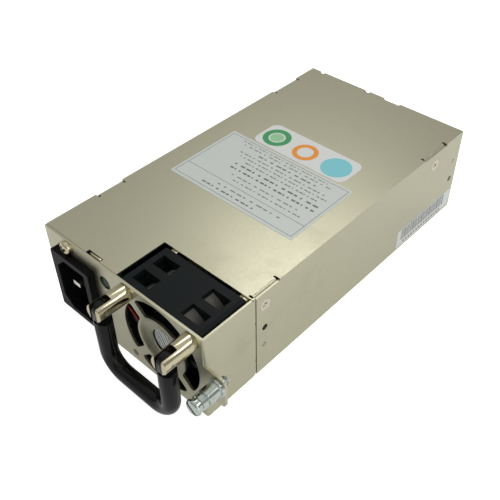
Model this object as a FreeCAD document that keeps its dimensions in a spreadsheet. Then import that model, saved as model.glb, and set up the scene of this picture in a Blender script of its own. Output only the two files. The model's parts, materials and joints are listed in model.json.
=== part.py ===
"""Hot swap server power supply module, 2U half width, with one fan and a pull bail.

Row frame: millimetres, +Z up, the front face looks along -Y. The origin is the middle
of the case's bottom face. Every size is a named cell of the sheet "Dims", and every
sub-part is bound to those cells by expressions.
"""
import FreeCAD, Part
import math
import os
import re

import Sketcher

SIZES = {
    # sheet metal case
    "wall": 0.8, "lid_thick": 0.8, "front_thick": 1.0, "rear_thick": 1.0, "panel_drop": 0.2,
    "flange_past_bay": 1.3, "seam_gap": 0.5, "inner_tab_len": 9.5, "inner_tab_low": 8.3,
    "inner_tab_drop": 12.5, "inner_tab_lap": 4.0, "flange_corner": 2.0, "bend_rad": 0.9,
    "rear_flange_len": 9.0,
    # fan bay, open through lid and tray
    "bay_gap": 1.1, "bay_rear_gap": 1.2,
    # lid ears and rear notches
    "ear_past_bay": 1.4, "ear_rear_back": 29.0, "ear_front_len": 11.4, "ear_rear_len": 15.0,
    "ear_drop": 11.0, "ear_relief": 0.9, "front_ear_left": 24.4, "front_ear_w": 5.2,
    "front_ear_drop": 6.0, "notch_left": 5.0, "notch_mid": 31.5, "notch_w": 2.4,
    "notch_deep": 1.8, "step_left": 42.0, "step_w": 8.5, "step_deep": 1.2,
    # cover screws and side fixings
    "screw_in_front_ear": 4.9, "screw_in_rear_ear": 8.5, "screw_drop": 7.0,
    "screw_head_rad": 2.7, "screw_rad": 1.4, "screw_long": 4.4, "screw_head_deep": 1.3,
    "rivet_past_flange": 4.8, "rivet_front_height": 22.3, "rivet_rear": 4.4,
    "rivet_rear_height": 17.6, "rivet_rad": 1.3,
    # fan
    "fan_size": 40.0, "fan_depth": 21.0, "fan_side_gap": 0.8, "fan_head_gap": 0.5,
    "fan_hole_inset": 4.0, "fan_corner": 2.2, "duct_wall": 1.1, "fan_hole_rad": 1.9, "plate_rad": 11.2, "plate_set": 1.4,
    "plate_thick": 1.6, "strut_w": 2.4, "tube_rad": 4.0, "tube_len": 12.6,
    "bearing_rad": 3.0, "bearing_len": 3.2, "shaft_rad": 1.0, "shaft_clear": 0.05,
    "shaft_end_gap": 0.4, "hub_rad": 11.2, "hub_wall": 1.0, "hub_set": 5.0, "hub_len": 13.6,
    "magnet_thick": 1.0, "magnet_len": 9.0, "magnet_set": 1.0,
    "stator_rad": 8.6, "stator_len": 7.6, "stator_set": 1.6, "pole_w": 3.4,
    "fan_board_rad": 9.4, "fan_board_thick": 1.0,
    "blade_count": 7, "blade_tip_gap": 1.4, "blade_set": 0.8, "blade_len": 12.0,
    "blade_thick": 1.2, "blade_sweep_root": 5.4, "blade_sweep_tip": 9.0, "blade_root_in": 0.6,
    "duct_skin": 0.8, "pocket_w": 8.5, "pocket_long": 5.6, "pocket_deep": 6.5, "pocket_out": 3.7,
    "pocket_front": 2.8, "pocket_pitch": 9.2,
    # finger guard pressed from the front sheet
    "guard_lap": 0.0, "guard_ring_rad": 12.0, "guard_dish_rad": 11.2, "guard_hole_rad": 6.2,
    "guard_dish": 1.0, "guard_arm_w": 3.6, "guard_fillet": 1.4,
    "peg_rad": 1.5, "peg_len": 3.6,
    # bail and its posts
    "post_rad": 3.5, "post_len": 13.8, "slot_w": 3.3, "slot_deep": 6.9, "post_shank_rad": 1.5,
    "post_shank_len": 3.6, "post_break": 0.3, "pin_set": 3.2, "pin_rad": 0.8, "pin_clear": 0.06,
    "pin_short": 0.15,
    "bail_rad": 3.3, "bail_drop": 28.0, "bail_bend": 8.0, "eye_side_clear": 0.3,
    "eye_rad": 2.9, "swing_clear": 0.6,
    # captive screw on its side tab
    "tab_out": 9.1, "tab_below": 9.05, "tab_above": 4.75, "tab_corner": 2.0,
    "captive_out": 5.9, "captive_rise": 2.4, "ferrule_rad": 3.7, "ferrule_flange": 1.2,
    "ferrule_neck_rad": 2.5, "ferrule_tail": 0.5, "barrel_rad": 3.0, "barrel_len": 5.0,
    "captive_neck_rad": 1.25, "captive_clear": 0.08, "washer_thick": 0.5, "washer_rad": 2.6,
    "knob_rad": 3.2, "knob_len": 5.2, "knob_slot_w": 1.1, "knob_slot_deep": 1.8,
    "knob_step": 0.5, "knob_rim": 1.5, "knob_grip_rad": 2.9,
    "captive_thread_rad": 1.75, "captive_thread_start": 2.0, "captive_tip": 4.2, "captive_lead": 0.4,
    "captive_recess_rad": 2.05, "captive_recess_deep": 3.6,
    # mains inlet
    "inlet_left": 5.3, "inlet_drop": 6.3, "inlet_w": 22.2, "inlet_tall": 29.2,
    "inlet_proud": 3.0, "inlet_body_w": 19.6, "inlet_body_tall": 26.6, "inlet_cut_clear": 0.2,
    "inlet_body_deep": 16.0, "cavity_w": 16.4, "cavity_tall": 24.4, "cavity_deep": 14.0,
    "cavity_cut": 4.6, "inlet_corner": 1.0, "prong_wide": 4.0,
    "prong_thick": 2.0, "prong_pitch": 14.0,
    "earth_offset": 4.0, "earth_inset": 2.4, "line_inset": 6.0, "tail_len": 7.0, "tail_w": 4.8, "tail_thick": 0.8,
    "earth_screw_left": 13.0, "earth_screw_drop": 3.4, "earth_head_rad": 2.6,
    "earth_head": 1.8, "earth_shank_rad": 1.5, "earth_shank_len": 5.0,
    "lead_rad": 1.0, "lead_bend": 2.0, "lead_run_line": 9.0, "lead_run_neutral": 4.0,
    "lead_run_earth": 6.5,
    # status lamp
    "lamp_lane": 12.6, "lamp_inset": 6.7, "lamp_drop": 7.9, "lamp_rad": 2.7, "lamp_clear": 0.1,
    "lamp_flange_rad": 3.3, "lamp_flange": 1.0, "lamp_deep": 2.6,
    "lamp_board_w": 8.0, "lamp_board_tall": 9.0, "lamp_board_thick": 1.2,
    # circuit board
    "board_side_gap": 1.6, "board_bay_gap": 2.2, "board_rear_gap": 1.5, "board_thick": 1.6,
    "board_lift": 4.0, "film_thick": 0.4, "film_inset": 1.0, "film_clear": 0.2, "post_inset": 6.0,
    "standoff_rad": 2.6, "board_screw_rad": 1.4, "board_head_rad": 2.4, "board_head": 1.8,
    "tongue_w": 52.0, "tongue_out": 9.0, "tongue_clear": 0.5, "finger_w": 5.2,
    "finger_pitch": 6.4, "finger_len": 7.0, "finger_thick": 0.2, "finger_count": 8, "finger_inset": 0.6,
    "vent_rad": 2.1, "vent_pitch_x": 6.4, "vent_pitch_z": 6.4, "vent_drop": 5.5,
    "vent_cols": 11, "vent_rows": 4,
    # parts standing on the board
    "choke_ring": 7.0, "choke_tube": 3.2, "choke_base_w": 9.0, "choke_base_long": 17.0,
    "choke_base_tall": 2.2, "choke_x": -30.0, "choke_y": 22.0, "choke_pitch": 13.5,
    "xcap_w": 10.0, "xcap_long": 24.0, "xcap_tall": 17.0, "xcap_x": -1.5, "xcap_y": 3.0,
    "fuse_rad": 2.6, "fuse_long": 20.0, "fuse_x": 14.0, "fuse_y": 5.0, "fuse_lift": 1.4,
    "clip_w": 7.0, "clip_long": 4.0, "clip_tall": 4.4,
    "sink_thick": 2.4, "sink_tall": 27.0, "sink_fin": 4.6, "sink_fin_thick": 1.2,
    "sink_fins": 5, "sink_long": 62.0, "sink_wall_gap": 2.0, "sink_row_gap": 2.5,
    "sink_stagger": 5.0,
    "chip_thick": 4.4, "chip_long": 10.0, "chip_tall": 15.0, "chip_lift": 8.0,
    "chip_first": 5.0, "chip_pitch": 14.0, "chip_count": 4, "leg_thick": 0.8, "leg_w": 6.0,
    "ring_bevel": 1.2,
    "boost_ring": 7.0, "boost_tube": 4.0, "boost_x": 15.5, "boost_gap": 6.0,
    "bulk_rad": 12.5, "bulk_lid_gap": 2.3, "bulk_x": -9.0, "bulk_gap": 0.5, "bulk_groove": 0.5,
    "core_w": 32.0, "core_deep": 12.0, "core_tall": 28.0, "core_leg": 10.0, "core_outer": 4.5,
    "core_yoke": 5.0, "coil_over": 5.0, "core_x": -8.0, "coil_gap": 4.5, "coil_clear": 0.4,
    "out_ring": 7.6, "out_tube": 3.4, "out_x": 19.0, "out_gap": 2.0, "out_base_w": 9.0,
    "out_base_long": 18.0, "out_base_tall": 2.2,
    "ocap_rad": 4.0, "ocap_tall": 17.0, "ocap_x": -24.0, "ocap_gap": 7.0, "ocap_pitch": 9.4,
    "ocap_cols": 5, "ocap_rows": 2,
    "card_thick": 1.2, "card_long": 30.0, "card_tall": 22.0, "card_x": 27.0, "card_set": 1.0,
    "card_rear_gap": 2.1,
    "card_chip_w": 1.6, "card_chip_long": 9.0, "card_chip_tall": 7.0, "card_chip_low": 8.0,
}

# what follows from the sizes above: the case from what it holds, and each place from its neighbour
DERIVED = {
    "bay_w": "wall + fan_side_gap + fan_size + bay_gap",
    "bay_depth": "front_thick + fan_depth + bay_rear_gap",
    "case_w": "inlet_left + inlet_w + lamp_lane + bay_w",
    "case_h": "fan_size + fan_head_gap",
    "board_front": "bay_depth + board_bay_gap",
    "board_top": "wall + board_lift + board_thick",
    "sink_left_y": "choke_y + choke_base_long/2 + sink_row_gap",
    "sink_right_y": "sink_left_y + sink_stagger",
    "sink_in": "case_w/2 - wall - sink_wall_gap - sink_fin - sink_thick",
    "bulk_y": "sink_left_y + bulk_gap + bulk_rad",
    "bulk_tall": "case_h - lid_thick - board_top - bulk_lid_gap",
    "boost_y": "fuse_y + fuse_long + boost_gap + boost_ring + boost_tube",
    "core_y": "bulk_y + bulk_rad + coil_gap + coil_over",
    "out_y": "boost_y + boost_ring + boost_tube + out_gap + out_ring + out_tube",
    "ocap_y": "core_y + core_deep + coil_over + ocap_gap + ocap_rad",
    "card_y": "ocap_y + card_set",
    "board_long": "card_y + card_long + card_rear_gap",
    "case_l": "board_front + board_long + board_rear_gap + rear_thick",
    "flange_len": "bay_depth + flange_past_bay",
    "inner_tab_high": "case_h - inner_tab_drop",
    "ear_front": "bay_depth + ear_past_bay",
    "ear_rear": "case_l - ear_rear_back",
    "screw_front": "ear_front + screw_in_front_ear",
    "screw_rear": "ear_rear + screw_in_rear_ear",
    "screw_height": "case_h - screw_drop",
    "rivet_front": "flange_len + rivet_past_flange",
    "fan_pitch": "fan_size - 2*fan_hole_inset",
    "fan_bore_rad": "fan_size/2 - duct_wall",
    "blade_reach": "fan_bore_rad - blade_tip_gap",
    "guard_rad": "fan_bore_rad - guard_lap",
    "captive_height": "case_h/2 + captive_rise",
    "tab_low": "captive_height - tab_below",
    "tab_high": "captive_height + tab_above",
    "inlet_low": "case_h - inlet_drop - inlet_tall",
    "earth_screw_height": "case_h - earth_screw_drop",
    "lamp_height": "case_h - lamp_drop",
    "vent_high": "case_h - lid_thick - vent_drop",
}

LEFT = "-case_w/2"
RIGHT = "case_w/2"
FRONT = "-case_l/2"
REAR = "case_l/2"
LID_UNDER = "(case_h - lid_thick)"
BAY_LEFT = "(case_w/2 - bay_w)"
FAN_X = "(case_w/2 - wall - fan_side_gap - fan_size/2)"
FAN_Z = "(case_h/2)"
FAN_FRONT = "(-case_l/2 + front_thick)"
POST_Z = "(case_h/2 + fan_pitch/2)"
PIN_Y = "(-case_l/2 - post_len + pin_set)"
CAPTIVE_X = "(case_w/2 + captive_out)"
BOARD_TOP = "board_top"
BOARD_FRONT = "(-case_l/2 + board_front)"
BOARD_HALF = "(case_w/2 - wall - board_side_gap)"
BOARD_REAR = "(case_l/2 - rear_thick - board_rear_gap)"
INLET_X = "(-case_w/2 + inlet_left + inlet_w/2)"
INLET_Z = "(inlet_low + inlet_tall/2)"
LAMP_X = f"({BAY_LEFT} - lamp_inset)"

TOWARDS = {
    "+X": FreeCAD.Vector(1, 0, 0), "-X": FreeCAD.Vector(-1, 0, 0),
    "+Y": FreeCAD.Vector(0, 1, 0), "-Y": FreeCAD.Vector(0, -1, 0),
    "+Z": FreeCAD.Vector(0, 0, 1), "-Z": FreeCAD.Vector(0, 0, -1),
}

doc = FreeCAD.newDocument("hot_swap_power_supply")
nodes = []


def make_sheet():
    """Put every size into the sheet, one alias to a row."""
    sheet = doc.addObject("Spreadsheet::Sheet", "Dims")
    for row, (alias, size) in enumerate({**SIZES, **DERIVED}.items(), start=1):
        sheet.set(f"A{row}", alias)
        sheet.set(f"B{row}", f"={size}")
        sheet.setAlias(f"B{row}", alias)
    doc.recompute()


def size_of(name):
    """The number that a size's cell holds."""
    return float(doc.getObject("Dims").get(name))


def bound(text):
    """The expression with each size name pointing at its cell."""
    def cell(word):
        return f"Dims.{word[0]}" if word[0] in SIZES or word[0] in DERIVED else word[0]
    return re.sub(r"\b[a-z]\w*\b", cell, text)


def bind(thing, **sizes):
    """Bind properties of thing to size expressions."""
    for name, text in sizes.items():
        thing.setExpression(name, bound(text))
    return thing


def put(thing, at, turn=None):
    """Place thing at a corner or centre given by three expressions."""
    if turn is not None:
        thing.Placement = FreeCAD.Placement(FreeCAD.Vector(), turn)
    for axis, text in zip("xyz", at):
        thing.setExpression(f".Placement.Base.{axis}", bound(text))
    return thing


def block(at, size):
    """A box from its low corner and its three sizes."""
    box = doc.addObject("Part::Box", "Block")
    bind(box, Length=size[0], Width=size[1], Height=size[2])
    return put(box, at)


def plate(low, high):
    """A box from its low corner to its high corner."""
    return block(low, [f"({b}) - ({a})" for a, b in zip(low, high)])


def rod(at, radius, length, towards="+Z"):
    """A cylinder from the middle of its first end."""
    cylinder = doc.addObject("Part::Cylinder", "Rod")
    bind(cylinder, Radius=radius, Height=length)
    return put(cylinder, at, FreeCAD.Rotation(TOWARDS["+Z"], TOWARDS[towards]))


def six_sided(at, radius, height):
    """An upright six-sided pillar from the middle of its lower end."""
    prism = doc.addObject("Part::Prism", "Pillar")
    prism.Polygon = 6
    bind(prism, Circumradius=radius, Height=height)
    return put(prism, at)


def taper(at, radius, end_radius, length, towards="+Z"):
    """A cone frustum from the middle of its first end."""
    cone = doc.addObject("Part::Cone", "Taper")
    bind(cone, Radius1=radius, Radius2=end_radius, Height=length)
    return put(cone, at, FreeCAD.Rotation(TOWARDS["+Z"], TOWARDS[towards]))


def elbow(centre, ring, tube, start, end):
    """A quarter bend about centre, from the start direction round to the end direction."""
    thing = doc.addObject("Part::Torus", "Elbow")
    bind(thing, Radius1=ring, Radius2=tube)
    thing.Angle3 = 90
    first, second = TOWARDS[start], TOWARDS[end]
    return put(thing, centre, FreeCAD.Rotation(first, second, first.cross(second), "XYZ"))


def fuse(*shapes):
    """One solid from shapes that meet."""
    joined = doc.addObject("Part::MultiFuse", "Joined")
    joined.Shapes = list(shapes)
    joined.Refine = True
    return joined


def cut(base, *tools):
    """The base without its tools."""
    left = doc.addObject("Part::Cut", "Left")
    left.Base = base
    left.Tool = tools[0] if len(tools) == 1 else fuse(*tools)
    left.Refine = True
    return left


def group(*shapes):
    """Separate solids of one kind, kept as one sub-part."""
    together = doc.addObject("Part::Compound", "Group")
    together.Links = list(shapes)
    return together


def node(label, thing):
    """Name a finished sub-part."""
    thing.Label = label
    nodes.append(thing)
    return thing


def body(label, at=("0", "0", "0"), turn=None):
    """A new PartDesign body, named as a sub-part."""
    return node(label, put(doc.addObject("PartDesign::Body", "Body"), at, turn))


def sketch(owner, plane, offset="0"):
    """A sketch on one of the body's own origin planes, moved along its normal."""
    drawn = owner.newObject("Sketcher::SketchObject", "Sketch")
    features = owner.Origin.OriginFeatures
    drawn.AttachmentSupport = [(next(part for part in features if part.Role == plane), "")]
    drawn.MapMode = "FlatFace"
    drawn.setExpression(".AttachmentOffset.Base.z", bound(offset))
    return drawn


def fix(drawn, kind, place, text, value):
    """Hold one coordinate or radius of a sketch's geometry to an expression."""
    index = drawn.addConstraint(Sketcher.Constraint(kind, *place, value))
    drawn.setExpression(f"Constraints[{index}]", bound(text))


def polygon(drawn, corners):
    """A closed outline through corners, each held by its own two expressions."""
    start, count = drawn.GeometryCount, len(corners)
    spots = [(math.cos(math.tau * i / count), math.sin(math.tau * i / count)) for i in range(count)]
    vectors = [FreeCAD.Vector(x, y, 0) for x, y in spots]
    for i in range(count):
        drawn.addGeometry(Part.LineSegment(vectors[i], vectors[(i + 1) % count]))
    for i in range(count):
        drawn.addConstraint(Sketcher.Constraint("Coincident", start + i, 2, start + (i + 1) % count, 1))
    for i, (across, up) in enumerate(corners):
        fix(drawn, "DistanceX", (-1, 1, start + i, 1), across, spots[i][0])
        fix(drawn, "DistanceY", (-1, 1, start + i, 1), up, spots[i][1])
    return drawn


def circle(drawn, across, up, radius):
    """A circle held by its centre and radius."""
    index = drawn.addGeometry(Part.Circle(FreeCAD.Vector(0.5, 0.5, 0), TOWARDS["+Z"], 1))
    fix(drawn, "DistanceX", (-1, 1, index, 3), across, 0.5)
    fix(drawn, "DistanceY", (-1, 1, index, 3), up, 0.5)
    fix(drawn, "Radius", (index,), radius, 1.0)
    return drawn


def pad(owner, drawn, length, back=False):
    """Raise a sketch by a length, along its normal or back from it."""
    raised = owner.newObject("PartDesign::Pad", "Pad")
    raised.Profile = drawn
    raised.Reversed = back
    return bind(raised, Length=length)


def pocket(owner, drawn, back=False, depth=None):
    """Cut a sketch out of the body, to a depth or right through."""
    sunk = owner.newObject("PartDesign::Pocket", "Pocket")
    sunk.Profile = drawn
    sunk.Reversed = back
    if depth is None:
        sunk.Type = "ThroughAll"
        sunk.Midplane = True
        return sunk
    return bind(sunk, Length=depth)


def origin_line(owner, role):
    """One of the body's own origin axes."""
    return next(part for part in owner.Origin.OriginFeatures if part.Role == role)


def edges_where(feature, wanted):
    """Names of a feature's edges that a test picks."""
    return [f"Edge{i}" for i, edge in enumerate(feature.Shape.Edges, start=1) if wanted(edge)]


def along(edge, direction):
    """Whether an edge is straight and runs along a direction."""
    if not isinstance(edge.Curve, (Part.Line, Part.LineSegment)):
        return False
    run = edge.Vertexes[-1].Point - edge.Vertexes[0].Point
    return run.cross(TOWARDS[direction]).Length < 1e-6 * run.Length


make_sheet()


# ---------------------------------------------------------------- sheet metal case

def side_screw(side, back):
    """One countersunk cover screw, its head flush with the side wall."""
    inward = "-X" if side == "case_w/2" else "+X"
    at = (side, f"{FRONT} + {back}", "screw_height")
    return fuse(
        taper(at, "screw_head_rad", "screw_rad", "screw_head_deep", inward),
        rod(at, "screw_rad", "screw_long", inward),
    )


def cover_screws():
    """The four screws that hold the lid's ears to the side walls."""
    return [side_screw(side, back) for side in (RIGHT, LEFT) for back in ("screw_front", "screw_rear")]


def make_base_tray(screws):
    """Folded tray: floor and two walls, open under the fan and short of the front flange."""
    floor = plate((LEFT, FAN_FRONT, "0"), (f"{RIGHT} - wall", REAR, "wall"))
    left_wall = plate((LEFT, FAN_FRONT, "0"), (f"{LEFT} + wall", REAR, LID_UNDER))
    wall_front = f"{FRONT} + flange_len + seam_gap"
    right_wall = plate((f"{RIGHT} - wall", wall_front, "0"), (RIGHT, REAR, LID_UNDER))
    bay = plate((BAY_LEFT, FRONT, "-wall"), (f"{RIGHT} - wall", f"{FRONT} + bay_depth", "2*wall"))
    front_hole = rod((f"{RIGHT} - 2*wall", f"{FRONT} + rivet_front", "rivet_front_height"),
                     "rivet_rad", "3*wall", "+X")
    rear_hole = rod((f"{LEFT} - wall", f"{REAR} - rivet_rear", "rivet_rear_height"),
                    "rivet_rad", "case_w + 2*wall", "+X")
    node("base_tray", cut(fuse(floor, left_wall, right_wall), bay, front_hole, rear_hole, *screws))


def make_front_panel():
    """Front sheet with its finger guard, side tab for the captive screw and side flanges.

    The body's origin is the fan's axis on the front face, so the guard is a pattern about +Y.
    """
    panel = body("front_panel", (FAN_X, FRONT, FAN_Z))
    left, right = f"{LEFT} - {FAN_X}", f"{RIGHT} - {FAN_X}"
    low, top = f"-{FAN_Z}", f"case_h - panel_drop - {FAN_Z}"
    tab_low, tab_high = f"tab_low - {FAN_Z}", f"tab_high - {FAN_Z}"
    tab_end = f"{right} + tab_out"
    face = polygon(sketch(panel, "XZ_Plane"), [
        (left, low), (right, low), (right, tab_low), (tab_end, tab_low),
        (tab_end, tab_high), (right, tab_high), (right, top), (left, top)])
    pad(panel, face, "front_thick", back=True)

    flange_at = f"{right} - wall"
    flange = polygon(sketch(panel, "YZ_Plane", flange_at), [
        ("0", low), ("flange_len", low), ("flange_len", top), ("0", top)])
    pad(panel, flange, "wall")
    lap = polygon(sketch(panel, "YZ_Plane", f"{flange_at} - wall"), [
        (f"flange_len {shift}", f"inner_tab_{end} - {FAN_Z}")
        for shift, end in (("- inner_tab_lap", "low"), ("+ inner_tab_len", "low"),
                           ("+ inner_tab_len", "high"), ("- inner_tab_lap", "high"))])
    pad(panel, lap, "wall")
    left_lap = polygon(sketch(panel, "YZ_Plane", f"{left} + wall"), [
        ("0", f"inner_tab_low - {FAN_Z}"), ("inner_tab_len", f"inner_tab_low - {FAN_Z}"),
        ("inner_tab_len", f"inner_tab_high - {FAN_Z}"), ("0", f"inner_tab_high - {FAN_Z}")])
    pad(panel, left_lap, "wall")

    holes = sketch(panel, "XZ_Plane")
    for side in ("-", ""):
        circle(holes, f"{side}fan_pitch/2", "fan_pitch/2", "post_shank_rad")
        circle(holes, f"{side}fan_pitch/2", "-fan_pitch/2", "peg_rad")
    circle(holes, f"{LAMP_X} - {FAN_X}", f"lamp_height - {FAN_Z}", "lamp_rad + lamp_clear")
    circle(holes, f"{CAPTIVE_X} - {FAN_X}", f"captive_height - {FAN_Z}", "ferrule_neck_rad")
    circle(holes, f"{left} + earth_screw_left", f"earth_screw_height - {FAN_Z}", "earth_shank_rad")
    circle(holes, "0", "0", "guard_dish_rad")
    inlet_x, inlet_z = f"{INLET_X} - {FAN_X}", f"{INLET_Z} - {FAN_Z}"
    half_w, half_tall = "(inlet_body_w/2 + inlet_cut_clear)", "(inlet_body_tall/2 + inlet_cut_clear)"
    polygon(holes, [(f"{inlet_x} {a} {half_w}", f"{inlet_z} {b} {half_tall}")
                    for a, b in (("-", "-"), ("+", "-"), ("+", "+"), ("-", "+"))])
    pocket(panel, holes)
    side_hole = circle(sketch(panel, "YZ_Plane", f"{right} - wall"), "rivet_front",
                       f"rivet_front_height - {FAN_Z}", "rivet_rad")
    pocket(panel, side_hole, depth="wall")
    cut_guard_windows(panel)
    dish = polygon(sketch(panel, "XY_Plane"), [
        ("guard_dish_rad", "0"), ("guard_hole_rad", "guard_dish"),
        ("guard_hole_rad", "guard_dish + front_thick"), ("guard_dish_rad", "front_thick")])
    revolve(panel, dish)
    round_panel_edges(panel)


def cut_guard_windows(panel):
    """Four windows between the guard's diagonal arms, with rounded corners."""
    size = {name: size_of(name) for name in ("guard_rad", "guard_ring_rad", "guard_arm_w")}
    window = sketch(panel, "XZ_Plane")
    half = "guard_arm_w/2"
    arcs, ends = [], []
    for name in ("guard_rad", "guard_ring_rad"):
        reach = math.sqrt(size[name] ** 2 - size["guard_arm_w"] ** 2 / 4)
        across = (reach - size["guard_arm_w"] / 2) / math.sqrt(2)
        angle = math.acos(across / size[name])
        ring = Part.Circle(FreeCAD.Vector(0, 0, 0), TOWARDS["+Z"], size[name])
        arcs.append(window.addGeometry(Part.ArcOfCircle(ring, angle, math.pi - angle)))
        window.addConstraint(Sketcher.Constraint("Coincident", arcs[-1], 3, -1, 1))
        fix(window, "Radius", (arcs[-1],), name, size[name])
        text = f"(sqrt({name}^2 - ({half})^2) - {half})/sqrt(2)"
        fix(window, "DistanceX", (-1, 1, arcs[-1], 1), text, across)
        fix(window, "DistanceX", (arcs[-1], 2, -1, 1), text, across)
        ends.append((across, size[name] * math.sin(angle)))
    for point, side in ((1, 1), (2, -1)):
        start, end = (FreeCAD.Vector(side * x, z, 0) for x, z in ends)
        line = window.addGeometry(Part.LineSegment(start, end))
        window.addConstraint(Sketcher.Constraint("Coincident", line, 1, arcs[0], point))
        window.addConstraint(Sketcher.Constraint("Coincident", line, 2, arcs[1], point))
    first = pocket(panel, window)
    four = panel.newObject("PartDesign::PolarPattern", "Windows")
    four.Originals = [first]
    four.Axis = (origin_line(panel, "Y_Axis"), [""])
    four.Angle = 360
    four.Occurrences = 4
    panel.Tip = four


def revolve(owner, drawn, axis="Y_Axis"):
    """A full turn of a sketch about one of the body's axes."""
    turned = owner.newObject("PartDesign::Revolution", "Revolution")
    turned.Profile = drawn
    turned.ReferenceAxis = (origin_line(owner, axis), [""])
    turned.Angle = 360
    return turned


def fillet(owner, radius, wanted):
    """Round the edges of the body's last feature that a test picks."""
    doc.recompute()
    base = owner.Tip
    rounded = owner.newObject("PartDesign::Fillet", "Fillet")
    rounded.Base = (base, edges_where(base, wanted))
    bind(rounded, Radius=radius)
    return rounded


def chamfer(owner, width, wanted):
    """Bevel the edges of the body's last feature that a test picks."""
    doc.recompute()
    base = owner.Tip
    bevelled = owner.newObject("PartDesign::Chamfer", "Chamfer")
    bevelled.Base = (base, edges_where(base, wanted))
    bind(bevelled, Size=width)
    return bevelled


def round_panel_edges(panel):
    """The guard's inner corners, the front bend, the tab's corners and the flange's foot."""
    ring, rim = size_of("guard_ring_rad"), size_of("guard_rad")
    reach = size_of("wall") + size_of("fan_side_gap") + size_of("fan_size") / 2
    height = size_of("case_h") / 2

    def window_corner(edge):
        point = edge.Vertexes[0].Point
        return along(edge, "+Y") and ring - 0.01 < math.hypot(point.x, point.z) < rim + 0.01

    def bend(edge):
        point = edge.Vertexes[0].Point
        return along(edge, "+Z") and abs(point.x - reach) < 0.01 and abs(point.y) < 0.01

    def tab_corner(edge):
        point = edge.Vertexes[0].Point
        return along(edge, "+Y") and abs(point.x - reach - size_of("tab_out")) < 0.01

    def foot(edge):
        point = edge.Vertexes[0].Point
        at_end = abs(point.y - size_of("flange_len")) < 0.01 and abs(point.z + height) < 0.01
        return along(edge, "+X") and at_end

    fillet(panel, "guard_fillet", window_corner)
    fillet(panel, "bend_rad", bend)
    fillet(panel, "tab_corner", tab_corner)
    fillet(panel, "flange_corner", foot)


def make_rear_panel():
    """Rear sheet with its vents, the slot for the board's tongue and its side flanges."""
    panel = body("rear_panel", ("0", REAR, "0"))
    inner = "(case_w/2 - wall)"
    face = polygon(sketch(panel, "XZ_Plane"), [
        (f"-{inner}", "wall"), (inner, "wall"), (inner, LID_UNDER), (f"-{inner}", LID_UNDER)])
    pad(panel, face, "rear_thick")
    for offset in (f"{inner} - wall", f"-{inner}"):
        flange = polygon(sketch(panel, "YZ_Plane", offset), [
            ("-rear_flange_len", "inner_tab_low"), ("0", "inner_tab_low"),
            ("0", "inner_tab_high"), ("-rear_flange_len", "inner_tab_high")])
        pad(panel, flange, "wall")
    slot_half = "(tongue_w/2 + tongue_clear)"
    low, high = "wall + board_lift - tongue_clear", f"{BOARD_TOP} + tongue_clear"
    slot = polygon(sketch(panel, "XZ_Plane"), [
        (f"-{slot_half}", low), (slot_half, low), (slot_half, high), (f"-{slot_half}", high)])
    pocket(panel, slot)
    vents = sketch(panel, "XZ_Plane")
    corners = [(math.cos(math.radians(turn)), math.sin(math.radians(turn))) for turn in range(30, 390, 60)]
    for column in range(SIZES["vent_cols"]):
        middle = f"({column} - (vent_cols - 1)/2)*vent_pitch_x"
        polygon(vents, [(f"{middle} + {x:.6f}*vent_rad", f"vent_high + {z:.6f}*vent_rad") for x, z in corners])
    row = pocket(panel, vents)
    rows = panel.newObject("PartDesign::LinearPattern", "VentRows")
    rows.Originals = [row]
    rows.Direction = (origin_line(panel, "Z_Axis"), [""])
    rows.Reversed = True
    bind(rows, Length="(vent_rows - 1)*vent_pitch_z", Occurrences="vent_rows")
    panel.Tip = rows


def ear_notch(side, inward, start, length):
    """Outline points round one bent-down side ear, from its front relief to its rear one."""
    relief, fold = f"{side} {inward} (wall + 2*lid_thick)", f"{side} {inward} wall"
    end = f"{start} + {length}"
    return [(side, f"{start} - ear_relief"), (relief, f"{start} - ear_relief"), (relief, start),
            (fold, start), (fold, end), (relief, end), (relief, f"{end} + ear_relief"),
            (side, f"{end} + ear_relief")]


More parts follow.
